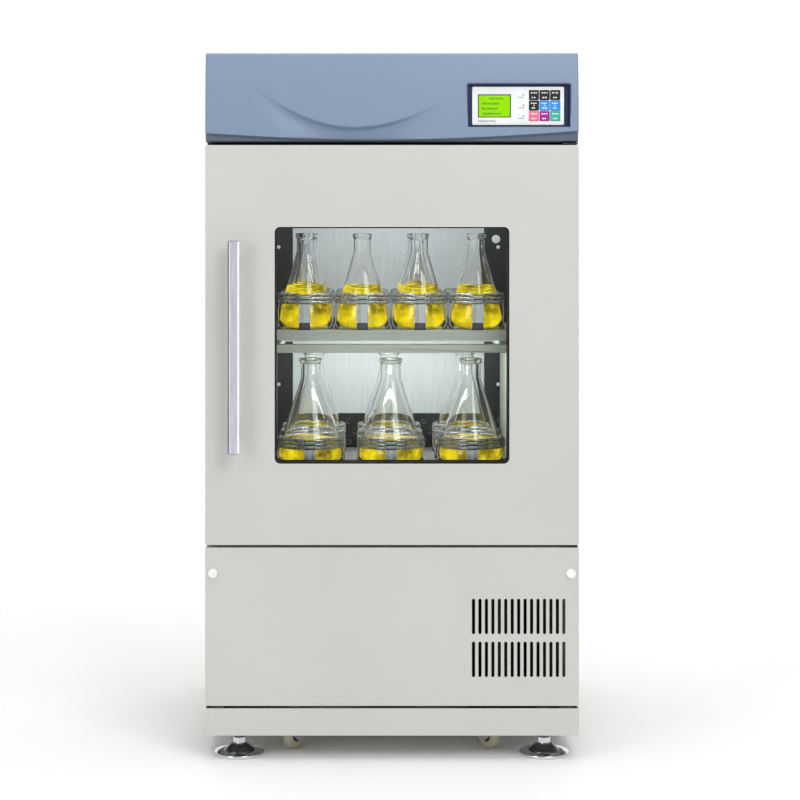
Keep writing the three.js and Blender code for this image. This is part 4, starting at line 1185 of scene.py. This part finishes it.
def fan_guard_shapes():
    """A wire guard over the circulation fan's inlet."""
    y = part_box("air_duct_panel")[0].y - 0.003
    centre_z = joints["circulation_fan_spin"]["pos_m"][2]
    shapes = []
    for radius in (0.015, 0.029, 0.043, 0.057, 0.07):
        ring = [(x, y, z) for x, z in circle(0, centre_z, radius, 48)]
        shapes.append((rod(ring, 0.0011, 1, True), ZINC))
    inner_ends, outer_ends = (arc(0, centre_z, radius, 45, 270, 3) for radius in (0.01, 0.074))
    for (x0, z0), (x1, z1) in zip(inner_ends, outer_ends):
        shapes.append((rod([(x0, y, z0), (x1, y, z1)], 0.0014, 1), ZINC))
    return shapes


def screw_shapes():
    """Cap screws that hold the back panels, and a plain round sensor beside them."""
    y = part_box("air_duct_panel")[0].y
    head = [(0.0, 0.0), (0.0042, 0.0), (0.0042, 0.0012), (0.003, 0.0022), (0.0, 0.0024)]
    places = [(x, z) for x in (-0.248, 0.248) for z in (1.01, 0.8, 0.7)]
    shapes = [fitting(head, 24, WHITE_PLASTIC, x, y, z) for x, z in places]
    sensor = [(0.0, 0.0), (0.0095, 0.0), (0.0095, 0.0014), (0.0078, 0.0018), (0.0074, 0.0004)]
    sensor += [(0.0036, 0.0004), (0.0036, 0.004), (0.0, 0.0045)]
    shapes.append(fitting(sensor, 36, WHITE_PLASTIC, 0.243, y, 1.028))
    return shapes


def rear_screw_shapes():
    """Pan-head screws round the edge of the rear panel, each slot a dark bar, painted shade for the recess.
    """
    low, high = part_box("rear_panel")
    inset, y = 0.012, high.y - 0.0004
    across = [low.x + inset + i * (high.x - low.x - 2 * inset) / 4 for i in range(5)]
    upward = [low.z + inset + i * (high.z - low.z - 2 * inset) / 6 for i in range(7)]
    places = {(x, z) for x in across for z in (upward[0], upward[-1])}
    places |= {(x, z) for x in (across[0], across[-1]) for z in upward}
    head = [(0.0, 0.0), (0.0044, 0.0), (0.0044, 0.001), (0.0036, 0.0022), (0.0, 0.0028)]
    shapes = []
    for x, z in sorted(places):
        shapes.append(fitting(head, 24, ZINC, x, y, z, BACKWARDS))
        # The slot as a dark bar: painted shade for the recess.
        low_corner, high_corner = (x - 0.003, y + 0.0022, z - 0.0005), (x + 0.003, y + 0.0029, z + 0.0005)
        shapes.append((bar(low_corner, high_corner, 0.0001, 1), INK))
    return shapes


def lamp_shapes():
    """A sealed light strip across the front of the chamber's ceiling."""
    ceiling = 1.185
    y = -0.21
    body = bar((-0.22, y - 0.014, ceiling - 0.012), (0.22, y + 0.014, ceiling - 0.0005), 0.003, 3)
    tube = bar((-0.21, y - 0.009, ceiling - 0.018), (0.21, y + 0.009, ceiling - 0.01), 0.003, 3)
    return [(body, WHITE_PLASTIC), (tube, LAMP)]


# --- Building the looks ---


def dress_cad_parts():
    """Finishes the CAD parts that are seen as they are, each with the radius of its softened edges."""
    finishes = [
        (CREAM, 0.0008, ["base_frame", "cabinet_shell", "rear_panel"]),
        (STAINLESS, 0.0006, ["chamber_liner", "motor_pulley"]),
        (BACK_STEEL, 0.0008, ["duct_cover"]),
        (TRAY_STEEL, 0.001, ["lower_tray", "upper_tray"]),
        (RACK_PAINT, 0.001, ["upper_rack"]),
        (DUCT_BLACK, 0.0004, ["air_duct_panel"]),
        (FOAM, 0.0, ["insulation_foam"]),
        (FINS, 0.0, ["evaporator_coil"]),
        (CONDENSER_PAINTED_SHADE, 0.0, ["condenser"]),
        (ENAMEL, 0.0005, ["top_hinge", "bottom_hinge"]),
        (ZINC, 0.0005, ["carriage_frame"]),
        (ZINC, 0.0005, [f"caster_{corner}_fork" for corner in CORNERS]),
        (ENAMEL, 0.001, ["compressor"]),
        (IRON, 0.0008, ["drive_motor", "main_crank", "idler_crank_left", "idler_crank_right"]),
        (BLACK_RUBBER, 0.0, ["drive_belt"]),
        (BLACK_PLASTIC, 0.0005, ["circulation_fan", "condenser_fan", "power_switch"]),
        (WINDOW_GLASS, 0.0, ["outer_glass", "inner_glass"]),
    ]
    for material, bevel, names in finishes:
        for name in names:
            dress(name, material, bevel)


def build_pieces():
    """Builds every finer piece, and hides the CAD parts that it stands for."""
    hood = [(hood_mesh(), (HOOD, HOOD_PAINTED_SHADE)), *bezel_shapes()]
    show("head_hood", hood, "cabinet", ["head_fascia"])
    show("control_face", control_plate_shapes(), "cabinet", ["control_plate"])
    show("lcd_screen", lcd_shapes(), "cabinet", ["lcd_display"])
    for row, column in KEY_FINISHES:
        key = f"key_{row}_{column}"
        show(f"{key}_cap", key_shapes(row, column), key, [key])
    show("hood_seal_gap_shade", hood_seal_shapes(), "cabinet")
    show("door_skin", door_shapes(), "door", ["door_outer_shell"])
    show("door_lining", inner_panel_shapes(), "door", ["door_inner_panel"])
    show("door_seal", gasket_shapes(), "door", ["door_gasket"])
    show("door_grip", handle_shapes(), "door", ["door_handle"])
    show("slotted_panel", lower_panel_shapes(), "cabinet", ["lower_front_panel"])
    for side in ("left", "right"):
        knob = f"panel_knob_{side}"
        show(f"{knob}_turned", knob_shapes(side), knob, [knob])
    for corner in CORNERS:
        foot, wheel = f"foot_{corner}", f"caster_{corner}_wheel"
        show(f"{foot}_turned", foot_shapes(corner), foot, [foot])
        show(f"{wheel}_turned", wheel_shapes(corner), wheel, [wheel])
    show("duct_perforations", perforation_shapes(), "cabinet")
    show("fan_guard", fan_guard_shapes(), "cabinet")
    show("chamber_screws", screw_shapes(), "cabinet")
    show("chamber_lamp", lamp_shapes(), "cabinet")
    show("rear_screws", rear_screw_shapes(), "cabinet")
    stand_load(UPPER, "upper")
    stand_load(LOWER, "lower")


# --- Stage ---


def sweep_floor():
    """A pale floor that curves up into a backdrop, which is clear when it is seen from behind."""
    front, back, half, top, radius = -7.0, 4.0, 7.0, 6.0, 1.6
    profile = [(front, 0.0), *arc(back - radius, radius, radius, -90, 90, 12), (back, top)]
    bm = bmesh.new()
    rows = [[bm.verts.new((x, y, z)) for x in (-half, half)] for y, z in profile]
    for low, high in zip(rows, rows[1:]):
        bm.faces.new((low[0], low[1], high[1], high[0]))
    mesh = merged(bm)
    paper = Shader("paper_sweep", 0xFDFDFD, 0.7)
    paper.tint(paper.noise(1.5, 2.0), 0.985, 1.01)
    paper.bump(paper.noise(150.0, 2.0), 0.0002, 0.1)
    clear_where(paper, paper.node("ShaderNodeNewGeometry").outputs["Backfacing"])
    mesh.materials.append(paper.material)
    if mesh.polygons[0].normal.z < 0:
        mesh.flip_normals()
    sweep = bpy.data.objects.new("paper_sweep", mesh)
    bpy.context.scene.collection.objects.link(sweep)


def soft_light(name, location, target, size, power):
    data = bpy.data.lights.new(name, "AREA")
    data.shape = "RECTANGLE"
    data.size, data.size_y = size
    data.energy = power
    lamp = bpy.data.objects.new(name, data)
    lamp.location = location
    lamp.rotation_mode = "QUATERNION"
    lamp.rotation_quaternion = (Vector(target) - Vector(location)).to_track_quat("-Z", "Y")
    bpy.context.scene.collection.objects.link(lamp)
    return lamp


def light_stage():
    """A bright studio with four softboxes, and two small lights inside the chamber."""
    world = bpy.data.worlds.new("studio")
    bpy.context.scene.world = world
    world.use_nodes = True
    background = world.node_tree.nodes["Background"]
    background.inputs["Color"].default_value = (1.0, 1.0, 1.0, 1.0)
    background.inputs["Strength"].default_value = 0.5
    soft_light("key_softbox", (1.6, -3.4, 3.0), (0, 0, 0.8), (2.0, 2.0), 60)
    soft_light("fill_softbox", (-2.6, -3.2, 1.6), (0, 0, 0.7), (1.4, 2.4), 30)
    soft_light("top_softbox", (0.0, -0.6, 3.6), (0, 0, 0.6), (2.6, 2.0), 38)
    soft_light("backdrop_light", (0.0, 1.4, 3.2), (0, 3.6, 1.2), (3.5, 1.0), 44)
    chamber = soft_light("chamber_light", (0.0, -0.19, 1.16), (0, 0.16, 0.95), (0.42, 0.05), 1.3)
    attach(chamber, "cabinet")
    lower = soft_light("lower_chamber_light", (0.0, -0.065, 0.797), (0, 0.2, 0.66), (0.42, 0.03), 1.05)
    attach(lower, "cabinet")


# The camera's place, and the width that it sees at the door.
CAMERA_X = -0.057
CAMERA_DISTANCE = 3.9
CAMERA_HEIGHT = 1.05
FIELD_AT_DOOR = 1.583
SHIFT_X = 0.046
SHIFT_Y = -0.2133


def aim_camera():
    """A level camera a little below the hood. Its lens is shifted only while it stands at this place."""
    data = bpy.data.cameras.new("camera")
    data.sensor_width = 36.0
    data.lens = 36.0 * CAMERA_DISTANCE / FIELD_AT_DOOR
    data.clip_end = 50.0
    camera = bpy.data.objects.new("camera", data)
    bpy.context.scene.collection.objects.link(camera)
    camera.location = (CAMERA_X, DOOR_LOW.y - CAMERA_DISTANCE, CAMERA_HEIGHT)
    camera.rotation_euler = (math.radians(90), 0.0, 0.0)
    bpy.context.scene.camera = camera
    home = bpy.data.objects.new("camera_home", None)
    home.location = camera.location
    bpy.context.scene.collection.objects.link(home)
    shift_near_home(camera, home, "shift_x", SHIFT_X)
    shift_near_home(camera, home, "shift_y", SHIFT_Y)


def shift_near_home(camera, home, path, shift):
    """Drives one lens shift from the camera's distance to its home: full there, and else none."""
    curve = camera.data.driver_add(path)
    for modifier in list(curve.modifiers):
        curve.modifiers.remove(modifier)
    curve.driver.type = "SUM"
    variable = curve.driver.variables.new()
    variable.type = "LOC_DIFF"
    variable.targets[0].id = camera
    variable.targets[1].id = home
    steps = ((0.0, shift), (0.05, shift), (0.1, 0.0))
    curve.keyframe_points.add(len(steps))
    for key, (distance, value) in zip(curve.keyframe_points, steps):
        key.co = (distance, value)
        key.interpolation = "LINEAR"
    curve.extrapolation = "CONSTANT"
    curve.update()


dress_cad_parts()
build_pieces()
sweep_floor()
light_stage()
aim_camera()
bpy.context.scene.view_settings.view_transform = "Standard"
